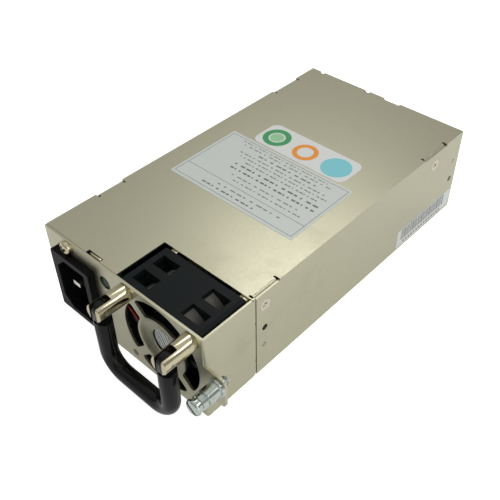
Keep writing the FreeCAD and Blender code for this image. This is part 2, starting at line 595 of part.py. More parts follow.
def make_top_cover(screws):
    """Lid lying on the walls' top edges, cut away over the fan, with ears bent down inside."""
    lid = doc.addObject("PartDesign::Body", "Body")
    put(lid, ("0", FRONT, LID_UNDER))
    right_ears = (ear_notch(RIGHT, "-", "ear_front", "ear_front_len")
                  + ear_notch(RIGHT, "-", "ear_rear", "ear_rear_len"))
    left_ears = (ear_notch(LEFT, "+", "ear_front", "ear_front_len")
                 + ear_notch(LEFT, "+", "ear_rear", "ear_rear_len"))
    ear_left, ear_right = f"{LEFT} + front_ear_left", f"{LEFT} + front_ear_left + front_ear_w"
    relief = "front_thick + 2*lid_thick"
    step, notch_mid, notch_left = (f"{LEFT} + {name}" for name in ("step_left", "notch_mid", "notch_left"))
    outline = [
        (LEFT, "front_thick"),
        (f"{ear_left} - ear_relief", "front_thick"), (f"{ear_left} - ear_relief", relief),
        (ear_left, relief), (ear_left, "front_thick"), (ear_right, "front_thick"),
        (ear_right, relief), (f"{ear_right} + ear_relief", relief),
        (f"{ear_right} + ear_relief", "front_thick"),
        (BAY_LEFT, "front_thick"), (BAY_LEFT, "bay_depth"), (RIGHT, "bay_depth"), *right_ears,
        (RIGHT, "case_l"), (f"{step} + step_w", "case_l"), (f"{step} + step_w", "case_l - step_deep"),
        (step, "case_l - step_deep"), (step, "case_l")]
    for notch in (notch_mid, notch_left):
        outline += [(f"{notch} + notch_w", "case_l"), (f"{notch} + notch_w", "case_l - notch_deep"),
                    (notch, "case_l - notch_deep"), (notch, "case_l")]
    outline += [(LEFT, "case_l"), *reversed(left_ears)]
    pad(lid, polygon(sketch(lid, "XY_Plane"), outline), "lid_thick")

    ears = sketch(lid, "XY_Plane")
    for start, length in (("ear_front", "ear_front_len"), ("ear_rear", "ear_rear_len")):
        for side, inward in ((RIGHT, "-"), (LEFT, "+")):
            near, far = f"{side} {inward} wall", f"{side} {inward} (wall + lid_thick)"
            polygon(ears, [(near, start), (far, start), (far, f"{start} + {length}"),
                           (near, f"{start} + {length}")])
    pad(lid, ears, "ear_drop", back=True)
    front_ear = polygon(sketch(lid, "XY_Plane"), [
        (ear_left, "front_thick"), (ear_right, "front_thick"),
        (ear_right, "front_thick + lid_thick"), (ear_left, "front_thick + lid_thick")])
    pad(lid, front_ear, "front_ear_drop", back=True)

    fold = size_of("case_w") / 2 - size_of("wall")

    def ear_bend(edge):
        point = edge.Vertexes[0].Point
        on_top = abs(point.z - size_of("lid_thick")) < 0.01
        return along(edge, "+Y") and on_top and abs(abs(point.x) - fold) < 0.01

    def front_bend(edge):
        point = edge.Vertexes[0].Point
        on_top = abs(point.z - size_of("lid_thick")) < 0.01
        at_front = abs(point.y - size_of("front_thick")) < 0.01
        short = abs(edge.Length - size_of("front_ear_w")) < 0.01
        return along(edge, "+X") and on_top and at_front and short

    fillet(lid, "bend_rad", ear_bend)
    fillet(lid, "bend_rad", front_bend)
    node("top_cover", cut(lid, *screws))


def make_case():
    """The four sheet metal pieces and the screws that hold the lid."""
    screws = cover_screws()
    make_base_tray(screws)
    make_front_panel()
    make_rear_panel()
    make_top_cover(screws)
    node("cover_screws", group(*screws))


make_case()


# ---------------------------------------------------------------- fan

PLATE_BACK = f"({FAN_FRONT} + plate_set + plate_thick)"


def fan_rod(start, radius, length):
    """A cylinder on the fan's axis, from a distance along it."""
    return rod((FAN_X, start, FAN_Z), radius, length, "+Y")


def frame_pockets():
    """Two rows of four pockets in the frame's corners, each with the duct's round skin as its floor."""
    inner = "(fan_size/2 - pocket_out - pocket_w)"
    low = "(fan_size/2 - pocket_deep)"
    boxes = [
        block((f"{FAN_X} - {inner} - pocket_w" if side < 0 else f"{FAN_X} + {inner}",
               f"{FAN_FRONT} + pocket_front + {row}*pocket_pitch",
               f"{FAN_Z} - {low} - pocket_deep" if under else f"{FAN_Z} + {low}"),
              ("pocket_w", "pocket_long", "pocket_deep"))
        for side in (-1, 1) for row in (0, 1) for under in (False, True)]
    return cut(group(*boxes), fan_rod(FAN_FRONT, "fan_bore_rad + duct_skin", "fan_depth"))


def make_fan_frame():
    """Square frame with a round duct, mounting holes, pockets and the motor's plate and tube."""
    shell = put(doc.addObject("PartDesign::Body", "Body"), (FAN_X, FAN_FRONT, FAN_Z))
    square = polygon(sketch(shell, "XZ_Plane"), [
        ("-fan_size/2", "-fan_size/2"), ("fan_size/2", "-fan_size/2"),
        ("fan_size/2", "fan_size/2"), ("-fan_size/2", "fan_size/2")])
    pad(shell, square, "fan_depth", back=True)
    fillet(shell, "fan_corner", lambda edge: along(edge, "+Y"))
    holes = [rod((f"{FAN_X} {a} fan_pitch/2", FAN_FRONT, f"{FAN_Z} {b} fan_pitch/2"),
                 "fan_hole_rad", "fan_depth", "+Y") for a in "-+" for b in "-+"]
    open_duct = cut(shell, fan_rod(FAN_FRONT, "fan_bore_rad", "fan_depth"), *holes)
    duct = cut(open_duct, frame_pockets())
    motor_front, reach = f"{FAN_FRONT} + plate_set", "(fan_bore_rad + strut_w/4)"
    struts = [
        plate((f"{FAN_X} - {reach}", motor_front, f"{FAN_Z} - strut_w/2"),
              (f"{FAN_X} + {reach}", PLATE_BACK, f"{FAN_Z} + strut_w/2")),
        plate((f"{FAN_X} - strut_w/2", motor_front, f"{FAN_Z} - {reach}"),
              (f"{FAN_X} + strut_w/2", PLATE_BACK, f"{FAN_Z} + {reach}"))]
    motor = fan_rod(motor_front, "plate_rad", "plate_thick")
    tube = fan_rod(PLATE_BACK, "tube_rad", "tube_len")
    seat = fan_rod(PLATE_BACK, "bearing_rad", "tube_len")
    node("fan_frame", cut(fuse(duct, motor, tube, *struts), seat))


def make_fan_motor():
    """Bearings, stator and its board on the frame's tube."""
    bores = [f"{PLATE_BACK}", f"{PLATE_BACK} + tube_len - bearing_len"]
    node("fan_bearings", group(*[
        cut(fan_rod(start, "bearing_rad", "bearing_len"),
            fan_rod(start, "shaft_rad + shaft_clear", "bearing_len")) for start in bores]))
    node("fan_board", cut(fan_rod(PLATE_BACK, "fan_board_rad", "fan_board_thick"),
                          fan_rod(PLATE_BACK, "tube_rad", "fan_board_thick")))
    start = f"{PLATE_BACK} + stator_set"
    end = f"{start} + stator_len"
    poles = [
        plate((f"{FAN_X} - stator_rad", start, f"{FAN_Z} - pole_w/2"),
              (f"{FAN_X} + stator_rad", end, f"{FAN_Z} + pole_w/2")),
        plate((f"{FAN_X} - pole_w/2", start, f"{FAN_Z} - stator_rad"),
              (f"{FAN_X} + pole_w/2", end, f"{FAN_Z} + stator_rad"))]
    core = fan_rod(start, "(tube_rad + stator_rad)/2", "stator_len")
    node("fan_stator", cut(fuse(core, *poles), fan_rod(start, "tube_rad", "stator_len")))


def make_fan_rotor():
    """Hub cup with its blades, the magnet inside it and the shaft pressed into its end."""
    rotor = body("fan_rotor", (FAN_X, FAN_FRONT, FAN_Z))
    end = "(hub_set + hub_len)"
    cup = polygon(sketch(rotor, "XY_Plane"), [
        ("0", end), ("hub_rad", end), ("hub_rad", "hub_set"), ("hub_rad - hub_wall", "hub_set"),
        ("hub_rad - hub_wall", f"{end} - hub_wall"), ("0", f"{end} - hub_wall")])
    revolve(rotor, cup)
    profiles = []
    for reach, sweep in (("hub_rad - blade_root_in", "blade_sweep_root"),
                         ("blade_reach", "blade_sweep_tip")):
        low, high = "(hub_set + blade_set)", "(hub_set + blade_set + blade_len)"
        profiles.append(polygon(sketch(rotor, "YZ_Plane", reach), [
            (low, f"-{sweep}/2"), (f"{low} + blade_thick", f"-{sweep}/2"),
            (high, f"{sweep}/2"), (f"{high} - blade_thick", f"{sweep}/2")]))
    blade = rotor.newObject("PartDesign::AdditiveLoft", "Blade")
    blade.Profile = profiles[0]
    blade.Sections = [profiles[1]]
    blades = rotor.newObject("PartDesign::PolarPattern", "Blades")
    blades.Originals = [blade]
    blades.Axis = (origin_line(rotor, "Y_Axis"), [""])
    blades.Angle = 360
    bind(blades, Occurrences="blade_count")
    rotor.Tip = blades
    inner = "hub_rad - hub_wall"
    start = f"{FAN_FRONT} + hub_set + magnet_set"
    node("fan_magnet", cut(fan_rod(start, inner, "magnet_len"),
                           fan_rod(start, f"{inner} - magnet_thick", "magnet_len")))
    shaft_start = f"{PLATE_BACK} + shaft_end_gap"
    length = f"{FAN_FRONT} + {end} - hub_wall - ({shaft_start})"
    node("fan_shaft", fan_rod(shaft_start, "shaft_rad", length))


def make_fan():
    """The complete fan and the two pegs that locate its lower holes."""
    make_fan_frame()
    make_fan_motor()
    make_fan_rotor()
    node("fan_pegs", group(*[
        rod((f"{FAN_X} {a} fan_pitch/2", FRONT, f"{FAN_Z} - fan_pitch/2"), "peg_rad", "peg_len", "+Y")
        for a in "-+"]))


# ---------------------------------------------------------------- bail and its posts

def make_post(label, x):
    """Turned post with a slot for the bail's eye, a pin hole and a shank through the sheet."""
    post = body(label, (x, FRONT, POST_Z))
    pad(post, circle(sketch(post, "XZ_Plane"), "0", "0", "post_rad"), "post_len")
    pad(post, circle(sketch(post, "XZ_Plane"), "0", "0", "post_shank_rad"), "post_shank_len", back=True)
    slot = polygon(sketch(post, "XZ_Plane", "post_len"), [
        ("-slot_w/2", "-post_rad"), ("slot_w/2", "-post_rad"),
        ("slot_w/2", "post_rad"), ("-slot_w/2", "post_rad")])
    pocket(post, slot, depth="slot_deep")
    pin = circle(sketch(post, "YZ_Plane", "post_rad"), "-post_len + pin_set", "0", "pin_rad")
    pocket(post, pin, depth="2*post_rad")

    def tip_rim(edge):
        at_tip = edge.BoundBox.YMax < 0.1 - size_of("post_len")
        return at_tip and isinstance(edge.Curve, Part.Circle)
    chamfer(post, "post_break", tip_rim)


def bail_leg(x, turn):
    """One leg of the bail with its flat eye, clear of the post's cheeks all round its swing."""
    low = "(case_h/2 + fan_pitch/2 - bail_drop)"
    clear = "(sqrt(pin_set^2 + post_rad^2) + swing_clear)"
    leg = rod((x, PIN_Y, f"{low} + bail_bend"), "bail_rad", "bail_drop - bail_bend")
    cradle = rod((f"{x} - 2*bail_rad", PIN_Y, POST_Z), clear, "4*bail_rad", "+X")
    eye_w = "(slot_w - 2*eye_side_clear)"
    eye = rod((f"{x} - {eye_w}/2", PIN_Y, POST_Z), "eye_rad", eye_w, "+X")
    web = plate((f"{x} - {eye_w}/2", f"{PIN_Y} - eye_rad", f"{POST_Z} - {clear} - swing_clear"),
                (f"{x} + {eye_w}/2", f"{PIN_Y} + eye_rad", POST_Z))
    corner = elbow((f"{x} {turn} bail_bend", PIN_Y, f"{low} + bail_bend"), "bail_bend", "bail_rad",
                   "-X" if turn == "+" else "+X", "-Z")
    return [cut(leg, cradle), eye, web, corner]


def make_bail():
    """Two posts, two pins and the bail that swings on them."""
    left, right = f"({FAN_X} - fan_pitch/2)", f"({FAN_X} + fan_pitch/2)"
    make_post("bail_post_left", left)
    make_post("bail_post_right", right)
    pin_half = "(post_rad - pin_short)"
    pins = [rod((f"{x} - {pin_half}", PIN_Y, POST_Z), "pin_rad", f"2*{pin_half}", "+X")
            for x in (left, right)]
    node("bail_pins", group(*pins))
    bar = rod((f"{left} + bail_bend", PIN_Y, f"{POST_Z} - bail_drop"), "bail_rad",
              "fan_pitch - 2*bail_bend", "+X")
    whole = fuse(*bail_leg(left, "+"), bar, *bail_leg(right, "-"))
    holes = [rod((f"{x} - bail_rad", PIN_Y, POST_Z), "pin_rad + pin_clear", "2*bail_rad", "+X")
             for x in (left, right)]
    node("pull_bail", cut(whole, *holes))


# ---------------------------------------------------------------- captive screw

def captive_rod(start, radius, length, towards="+Y"):
    """A cylinder on the captive screw's axis."""
    return rod((CAPTIVE_X, start, "captive_height"), radius, length, towards)


def make_captive_screw():
    """Ferrule swaged into the side tab, a washer, and the screw that turns and slides in it."""
    bore = "captive_neck_rad + captive_clear"
    tail = f"{FRONT} + front_thick"
    sleeve = fuse(captive_rod(FRONT, "ferrule_rad", "ferrule_flange", "-Y"),
                  captive_rod(FRONT, "barrel_rad", "ferrule_flange + barrel_len", "-Y"),
                  captive_rod(FRONT, "ferrule_neck_rad", "front_thick"),
                  captive_rod(tail, "ferrule_neck_rad + ferrule_tail", "ferrule_tail"))
    through = captive_rod(f"{FRONT} - ferrule_flange - barrel_len", bore,
                          "ferrule_flange + barrel_len + front_thick + ferrule_tail")
    recess = captive_rod(f"{tail} + ferrule_tail", "captive_recess_rad", "captive_recess_deep", "-Y")
    node("captive_ferrule", cut(sleeve, through, recess))
    barrel_end = f"{FRONT} - ferrule_flange - barrel_len"
    node("captive_washer", cut(captive_rod(barrel_end, "washer_rad", "washer_thick", "-Y"),
                               captive_rod(barrel_end, bore, "washer_thick", "-Y")))
    screw = body("captive_screw", (CAPTIVE_X, FRONT, "captive_height"))
    under = "(-ferrule_flange - barrel_len - washer_thick)"
    front = f"({under} - knob_len)"
    profile = polygon(sketch(screw, "XY_Plane"), [
        ("0", front), ("knob_rad - knob_step", front), ("knob_rad", f"{front} + knob_step"),
        ("knob_rad", f"{front} + knob_rim"), ("knob_grip_rad", f"{front} + knob_rim + knob_step"),
        ("knob_grip_rad", under), ("captive_neck_rad", under), ("captive_neck_rad", "captive_thread_start"),
        ("captive_thread_rad", "captive_thread_start"), ("captive_thread_rad", "captive_tip - captive_lead"),
        ("captive_thread_rad - captive_lead", "captive_tip"), ("0", "captive_tip")])
    revolve(screw, profile)
    slot = polygon(sketch(screw, "XZ_Plane", f"-{front}"), [
        ("-knob_rad", "-knob_slot_w/2"), ("knob_rad", "-knob_slot_w/2"),
        ("knob_rad", "knob_slot_w/2"), ("-knob_rad", "knob_slot_w/2")])
    pocket(screw, slot, depth="knob_slot_deep")


# ---------------------------------------------------------------- mains inlet and lamp

INLET_BACK = f"({FRONT} + inlet_body_deep)"
INLET_PINS = [("+", "+ prong_pitch/2", "line"), ("+", "- prong_pitch/2", "line"), ("-", "+ 0", "earth")]


def make_inlet():
    """Inlet housing with its stepped cavity, and its three blades with their tails."""
    inlet = body("inlet_housing", (INLET_X, FRONT, INLET_Z))

    def frame_of(drawn, wide, tall):
        return polygon(drawn, [(f"{a}{wide}/2", f"{b}{tall}/2")
                               for a, b in (("-", "-"), ("", "-"), ("", ""), ("-", ""))])
    pad(inlet, frame_of(sketch(inlet, "XZ_Plane"), "inlet_w", "inlet_tall"), "inlet_proud")
    pad(inlet, frame_of(sketch(inlet, "XZ_Plane"), "inlet_body_w", "inlet_body_tall"),
        "inlet_body_deep", back=True)
    left, right, up = "-cavity_w/2", "cavity_w/2", "cavity_tall/2"
    cavity = polygon(sketch(inlet, "XZ_Plane", "inlet_proud"), [
        (f"{left} + cavity_cut", f"-{up}"), (right, f"-{up}"), (right, up),
        (f"{left} + cavity_cut", up), (left, f"{up} - cavity_cut"), (left, f"-{up} + cavity_cut")])
    pocket(inlet, cavity, depth="cavity_deep")
    slots = sketch(inlet, "XZ_Plane", "inlet_proud")
    for across, up_by, _ in INLET_PINS:
        x = f"({across}earth_offset/2)"
        polygon(slots, [(f"{x} {a} prong_wide/2", f"0 {up_by} {b} prong_thick/2")
                        for a, b in (("-", "-"), ("+", "-"), ("+", "+"), ("-", "+"))])
    pocket(inlet, slots)

    def rim_corner(edge):
        point = edge.Vertexes[0].Point
        outer = abs(abs(point.x) - size_of("inlet_w") / 2) < 0.01
        return along(edge, "+Y") and outer
    fillet(inlet, "inlet_corner", rim_corner)

    blades = []
    for across, up_by, kind in INLET_PINS:
        x, z = f"({INLET_X} {across} earth_offset/2)", f"({INLET_Z} {up_by})"
        tip = f"{FRONT} - inlet_proud + {kind}_inset"
        blades.append(fuse(
            plate((f"{x} - prong_wide/2", tip, f"{z} - prong_thick/2"),
                  (f"{x} + prong_wide/2", INLET_BACK, f"{z} + prong_thick/2")),
            plate((f"{x} - tail_w/2", INLET_BACK, f"{z} - tail_thick/2"),
                  (f"{x} + tail_w/2", f"{INLET_BACK} + tail_len", f"{z} + tail_thick/2"))))
    node("inlet_blades", group(*blades))
    at = (f"{LEFT} + earth_screw_left", FRONT, "earth_screw_height")
    node("earth_screw", fuse(rod(at, "earth_head_rad", "earth_head", "-Y"),
                             rod(at, "earth_shank_rad", "earth_shank_len", "+Y")))


def lead(x, z, run):
    """A wire from an inlet tail, straight back and then down on to the board."""
    start = f"({INLET_BACK} + tail_len)"
    return fuse(
        rod((x, start, z), "lead_rad", run, "+Y"),
        elbow((x, f"{start} + {run}", f"{z} - lead_bend"), "lead_bend", "lead_rad", "+Z", "+Y"),
        rod((x, f"{start} + {run} + lead_bend", BOARD_TOP), "lead_rad", f"{z} - lead_bend - {BOARD_TOP}"))


def make_leads_and_lamp():
    """The inlet's three wires, and the status lamp with its small board."""
    node("inlet_leads", group(*[
        lead(f"({INLET_X} {across} earth_offset/2)", f"({INLET_Z} {up_by})", f"lead_run_{name}")
        for (across, up_by, _), name in zip(INLET_PINS, ("line", "neutral", "earth"))]))
    at = (LAMP_X, FRONT, "lamp_height")
    flange_at = (LAMP_X, FAN_FRONT, "lamp_height")
    node("status_lamp", fuse(rod(at, "lamp_rad", "front_thick + lamp_deep", "+Y"),
                             rod(flange_at, "lamp_flange_rad", "lamp_flange", "+Y")))
    behind = f"{FAN_FRONT} + lamp_deep"
    node("lamp_board", plate(
        (f"{LAMP_X} - lamp_board_w/2", behind, "lamp_height - lamp_board_tall/2"),
        (f"{LAMP_X} + lamp_board_w/2", f"{behind} + lamp_board_thick", "lamp_height + lamp_board_tall/2")))


# ---------------------------------------------------------------- circuit board

def board_posts():
    """The four corners where the board is held, as x and y expressions."""
    return [(f"({side}({BOARD_HALF} - post_inset))", y) for side in ("", "-")
            for y in (f"({BOARD_FRONT} + post_inset)", f"({BOARD_REAR} - post_inset)")]


def make_main_board():
    """Main board on four stand-offs, with the tongue and contact fingers at its rear."""
    spots = board_posts()
    shanks = [rod((x, y, "wall"), "board_screw_rad", "board_lift + board_thick") for x, y in spots]
    sheet_part = plate((f"-{BOARD_HALF}", BOARD_FRONT, "wall + board_lift"),
                       (BOARD_HALF, BOARD_REAR, BOARD_TOP))
    tongue = plate(("-tongue_w/2", f"{BOARD_REAR} - board_thick", "wall + board_lift"),
                   ("tongue_w/2", f"{REAR} + tongue_out", BOARD_TOP))
    node("main_board", cut(fuse(sheet_part, tongue), *shanks))
    node("board_standoffs", group(*[
        cut(six_sided((x, y, "wall"), "standoff_rad", "board_lift"), shank)
        for (x, y), shank in zip(spots, shanks)]))
    node("board_screws", group(*[
        fuse(shank, rod((x, y, BOARD_TOP), "board_head_rad", "board_head"))
        for (x, y), shank in zip(spots, shanks)]))
    film_half = f"({BOARD_HALF} - film_inset)"
    film = plate((f"-{film_half}", BOARD_FRONT, "wall"), (film_half, BOARD_REAR, "wall + film_thick"))
    rings = [rod((x, y, "wall"), "standoff_rad + film_clear", "film_thick") for x, y in spots]
    node("insulating_film", cut(film, *rings))
    fingers = []
    for place in range(SIZES["finger_count"]):
        x = f"({place} - (finger_count - 1)/2)*finger_pitch - finger_w/2"
        for z in (BOARD_TOP, "wall + board_lift - finger_thick"):
            fingers.append(block((x, f"{REAR} + tongue_out - finger_inset - finger_len", z),
                                 ("finger_w", "finger_len", "finger_thick")))
    node("contact_fingers", group(*fingers))


def on_board(x, y):
    """A spot on the board's top, with y counted from the board's front edge."""
    return (x, f"{BOARD_FRONT} + {y}", BOARD_TOP)


def can(at, radius, tall, groove):
    """A round capacitor can with the crimped groove near its top."""
    x, y, z = at
    return fuse(rod(at, f"{radius} - {groove}", tall), rod(at, radius, f"{tall} - 5*{groove}"),
                rod((x, y, f"{z} + {tall} - 3*{groove}"), radius, f"3*{groove}"))


def wound_ring(at, kind, towards):
    """A wound ring with flat faces and bevelled rims, from the middle of its first face."""
    outer, wide = f"({kind}_ring + {kind}_tube)", f"(2*{kind}_tube)"
    axis = "XYZ".index(towards[1])

    def further(distance):
        return tuple(f"{text} + {distance}" if place == axis else text for place, text in enumerate(at))
    whole = fuse(taper(at, f"{outer} - ring_bevel", outer, "ring_bevel", towards),
                 rod(further("ring_bevel"), outer, f"{wide} - 2*ring_bevel", towards),
                 taper(further(f"{wide} - ring_bevel"), outer, f"{outer} - ring_bevel", "ring_bevel", towards))
    return cut(whole, rod(at, f"{kind}_ring - {kind}_tube", wide, towards))


def standing_choke(x, y, kind):
    """A wound ring standing on edge, bedded in its base."""
    at = on_board(x, y)
    base = block((f"{x} - {kind}_base_w/2", f"{at[1]} - {kind}_base_long/2", at[2]),
                 (f"{kind}_base_w", f"{kind}_base_long", f"{kind}_base_tall"))
    height = f"{at[2]} + {kind}_base_tall/2 + {kind}_ring + {kind}_tube"
    return fuse(base, wound_ring((f"{x} - {kind}_tube", at[1], height), kind, "+X"))


def make_sink(label, x, y, side):
    """Finned heat sink on edge along the board, fins towards the side wall."""
    sink = body(label, on_board(x, y))
    corners = [("0", "0"), (f"{side}sink_thick", "0")]
    for fin in range(1, SIZES["sink_fins"] + 1):
        low = f"{fin}*sink_tall/(sink_fins + 1) - sink_fin_thick/2"
        high = f"{fin}*sink_tall/(sink_fins + 1) + sink_fin_thick/2"
        root, tip = f"{side}sink_thick", f"{side}(sink_thick + sink_fin)"
        corners += [(root, low), (tip, low), (tip, high), (root, high)]
    corners += [(f"{side}sink_thick", "sink_tall"), ("0", "sink_tall")]
    pad(sink, polygon(sketch(sink, "XZ_Plane"), corners), "sink_long", back=True)


def make_chips(label, x, y, side):
    """A row of flat packages screwed to a heat sink's inner face, with legs to the board."""
    chips = []
    for place in range(SIZES["chip_count"]):
        near = f"{BOARD_FRONT} + {y} + chip_first + {place}*chip_pitch"
        inner = f"{x} - chip_thick" if side == "" else x
        middle = f"{x} - chip_thick/2" if side == "" else f"{x} + chip_thick/2"
        chips.append(fuse(
            block((inner, near, f"{BOARD_TOP} + chip_lift"), ("chip_thick", "chip_long", "chip_tall")),
            block((f"{middle} - leg_thick/2", f"{near} + (chip_long - leg_w)/2", BOARD_TOP),
                  ("leg_thick", "leg_w", "chip_lift"))))
    node(label, group(*chips))


def make_input_parts():
    """Fuse, filter chokes and capacitor, and the reservoir capacitor."""
    node("filter_chokes", group(standing_choke("choke_x", "choke_y", "choke"),
                                standing_choke("choke_x + choke_pitch", "choke_y", "choke")))
    node("filter_capacitor", block(on_board("xcap_x", "xcap_y"), ("xcap_w", "xcap_long", "xcap_tall")))
    x, y, z = on_board("fuse_x", "fuse_y")
    barrel = rod((x, y, f"{z} + fuse_lift + fuse_rad"), "fuse_rad", "fuse_long", "+Y")
    node("mains_fuse", barrel)
    node("fuse_clips", group(*[
        cut(block((f"{x} - clip_w/2", place, z), ("clip_w", "clip_long", "clip_tall")), barrel)
        for place in (y, f"{y} + fuse_long - clip_long")]))
    node("reservoir_capacitor", can(on_board("bulk_x", "bulk_y"), "bulk_rad", "bulk_tall", "bulk_groove"))
    node("boost_choke", wound_ring(on_board("boost_x", "boost_y"), "boost", "+Z"))


def make_transformer():
    """Window core standing on the board and the winding round its middle leg."""
    x, y, z = on_board("core_x", "core_y")
    core = block((f"{x} - core_w/2", y, z), ("core_w", "core_deep", "core_tall"))
    window_w = "(core_w/2 - core_leg/2 - core_outer)"
    low, tall = f"{z} + core_yoke", "(core_tall - 2*core_yoke)"
    windows = [block((start, y, low), (window_w, "core_deep", tall))
               for start in (f"{x} - core_w/2 + core_outer", f"{x} + core_leg/2")]
    node("transformer_core", cut(core, *windows))
    coil_half = f"(core_leg/2 + {window_w} - coil_clear)"
    coil = plate((f"{x} - {coil_half}", f"{y} - coil_over", low),
                 (f"{x} + {coil_half}", f"{y} + core_deep + coil_over", f"{low} + {tall}"))
    leg = plate((f"{x} - core_leg/2", y, low), (f"{x} + core_leg/2", f"{y} + core_deep", f"{low} + {tall}"))
    node("transformer_coil", cut(coil, leg))


def make_output_parts():
    """Output choke, capacitors and the upright control card with its chips."""
    node("output_choke", standing_choke("out_x", "out_y", "out"))
    node("output_capacitors", group(*[
        rod(on_board(f"(ocap_x + {column}*ocap_pitch)", f"ocap_y + {row}*ocap_pitch"),
            "ocap_rad", "ocap_tall")
        for column in range(SIZES["ocap_cols"]) for row in range(SIZES["ocap_rows"])]))
    x, y, z = on_board("card_x", "card_y")
    node("control_card", block((x, y, z), ("card_thick", "card_long", "card_tall")))
    node("card_chips", group(*[
        block((f"{x} - card_chip_w", f"{y} + {share}*card_long - card_chip_long/2", f"{z} + card_chip_low"),
              ("card_chip_w", "card_chip_long", "card_chip_tall")) for share in ("1/4", "3/4")]))


def make_board_parts():
    """Everything that stands on the main board."""
    make_input_parts()
    make_sink("primary_heat_sink", "-sink_in", "sink_left_y", "-")
    make_chips("power_transistors", "-sink_in", "sink_left_y", "-")
    make_sink("secondary_heat_sink", "sink_in", "sink_right_y", "")
    make_chips("rectifier_packages", "sink_in", "sink_right_y", "")
    make_transformer()
    make_output_parts()


make_fan()
make_bail()
make_captive_screw()
make_inlet()
make_leads_and_lamp()
make_main_board()
make_board_parts()


def check_and_write():
    """Recompute, stop at any failed object or bad shape, and write each sub-part's file."""
    doc.recompute()
    failed = [thing.Label for thing in doc.Objects if {"Invalid", "Error"} & set(thing.State)]
    failed += [thing.Label for thing in nodes if thing.Shape.isNull() or not thing.Shape.isValid()]
    if failed:
        raise RuntimeError(f"failed: {', '.join(failed)}")
    os.makedirs("parts", exist_ok=True)
    for thing in nodes:
        thing.Shape.exportStep(os.path.join("parts", f"{thing.Label}.step"))


check_and_write()
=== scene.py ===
"""Hot swap server power supply module: dressed pieces, finishes, stage, light and camera.

Lengths are in millimetres and angles in radians unless a line says otherwise.
"""
import json
import logging
import math
from collections.abc import Iterable, Sequence
from dataclasses import dataclass, field
from enum import Enum

import bmesh
import bpy
from mathutils import Matrix, Vector

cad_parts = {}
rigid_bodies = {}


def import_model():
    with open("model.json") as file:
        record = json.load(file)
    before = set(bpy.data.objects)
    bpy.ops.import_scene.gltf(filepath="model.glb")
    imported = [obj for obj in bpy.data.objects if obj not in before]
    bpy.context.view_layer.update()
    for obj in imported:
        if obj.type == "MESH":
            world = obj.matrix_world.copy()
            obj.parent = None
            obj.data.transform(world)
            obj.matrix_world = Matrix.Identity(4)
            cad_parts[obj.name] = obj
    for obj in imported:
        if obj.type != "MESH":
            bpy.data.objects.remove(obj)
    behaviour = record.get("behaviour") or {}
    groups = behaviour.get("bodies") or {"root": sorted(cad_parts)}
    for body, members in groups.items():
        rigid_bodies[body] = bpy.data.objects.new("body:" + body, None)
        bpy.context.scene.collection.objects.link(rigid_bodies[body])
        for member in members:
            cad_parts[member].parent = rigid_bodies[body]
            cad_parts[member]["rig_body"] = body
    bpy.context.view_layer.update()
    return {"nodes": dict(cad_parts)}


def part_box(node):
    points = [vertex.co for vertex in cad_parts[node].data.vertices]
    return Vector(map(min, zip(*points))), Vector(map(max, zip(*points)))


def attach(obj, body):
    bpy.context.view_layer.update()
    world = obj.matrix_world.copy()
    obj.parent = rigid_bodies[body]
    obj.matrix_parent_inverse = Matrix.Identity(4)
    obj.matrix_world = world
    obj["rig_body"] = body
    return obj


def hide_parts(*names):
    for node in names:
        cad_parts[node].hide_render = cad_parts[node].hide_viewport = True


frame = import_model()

log = logging.getLogger("power_supply")
MM = 0.001
MERGE = 1e-4
SMOOTH_UNDER = math.radians(35.0)
FLAT_UNDER = math.radians(0.6)
Colour = tuple[float, float, float]
Area = tuple[float, float, float, float]
Place = Sequence[float]
Draft = bmesh.types.BMesh
Piece = bpy.types.Object
Socket = bpy.types.NodeSocket
Input = Socket | float | Colour


class Axis(Enum):
    """Which way a turned piece or a plate faces."""

    X = Vector((1, 0, 0))
    Y = Vector((0, 1, 0))
    Z = Vector((0, 0, 1))
    BACK_X = Vector((-1, 0, 0))
    BACK_Y = Vector((0, -1, 0))


# ---- shader writing

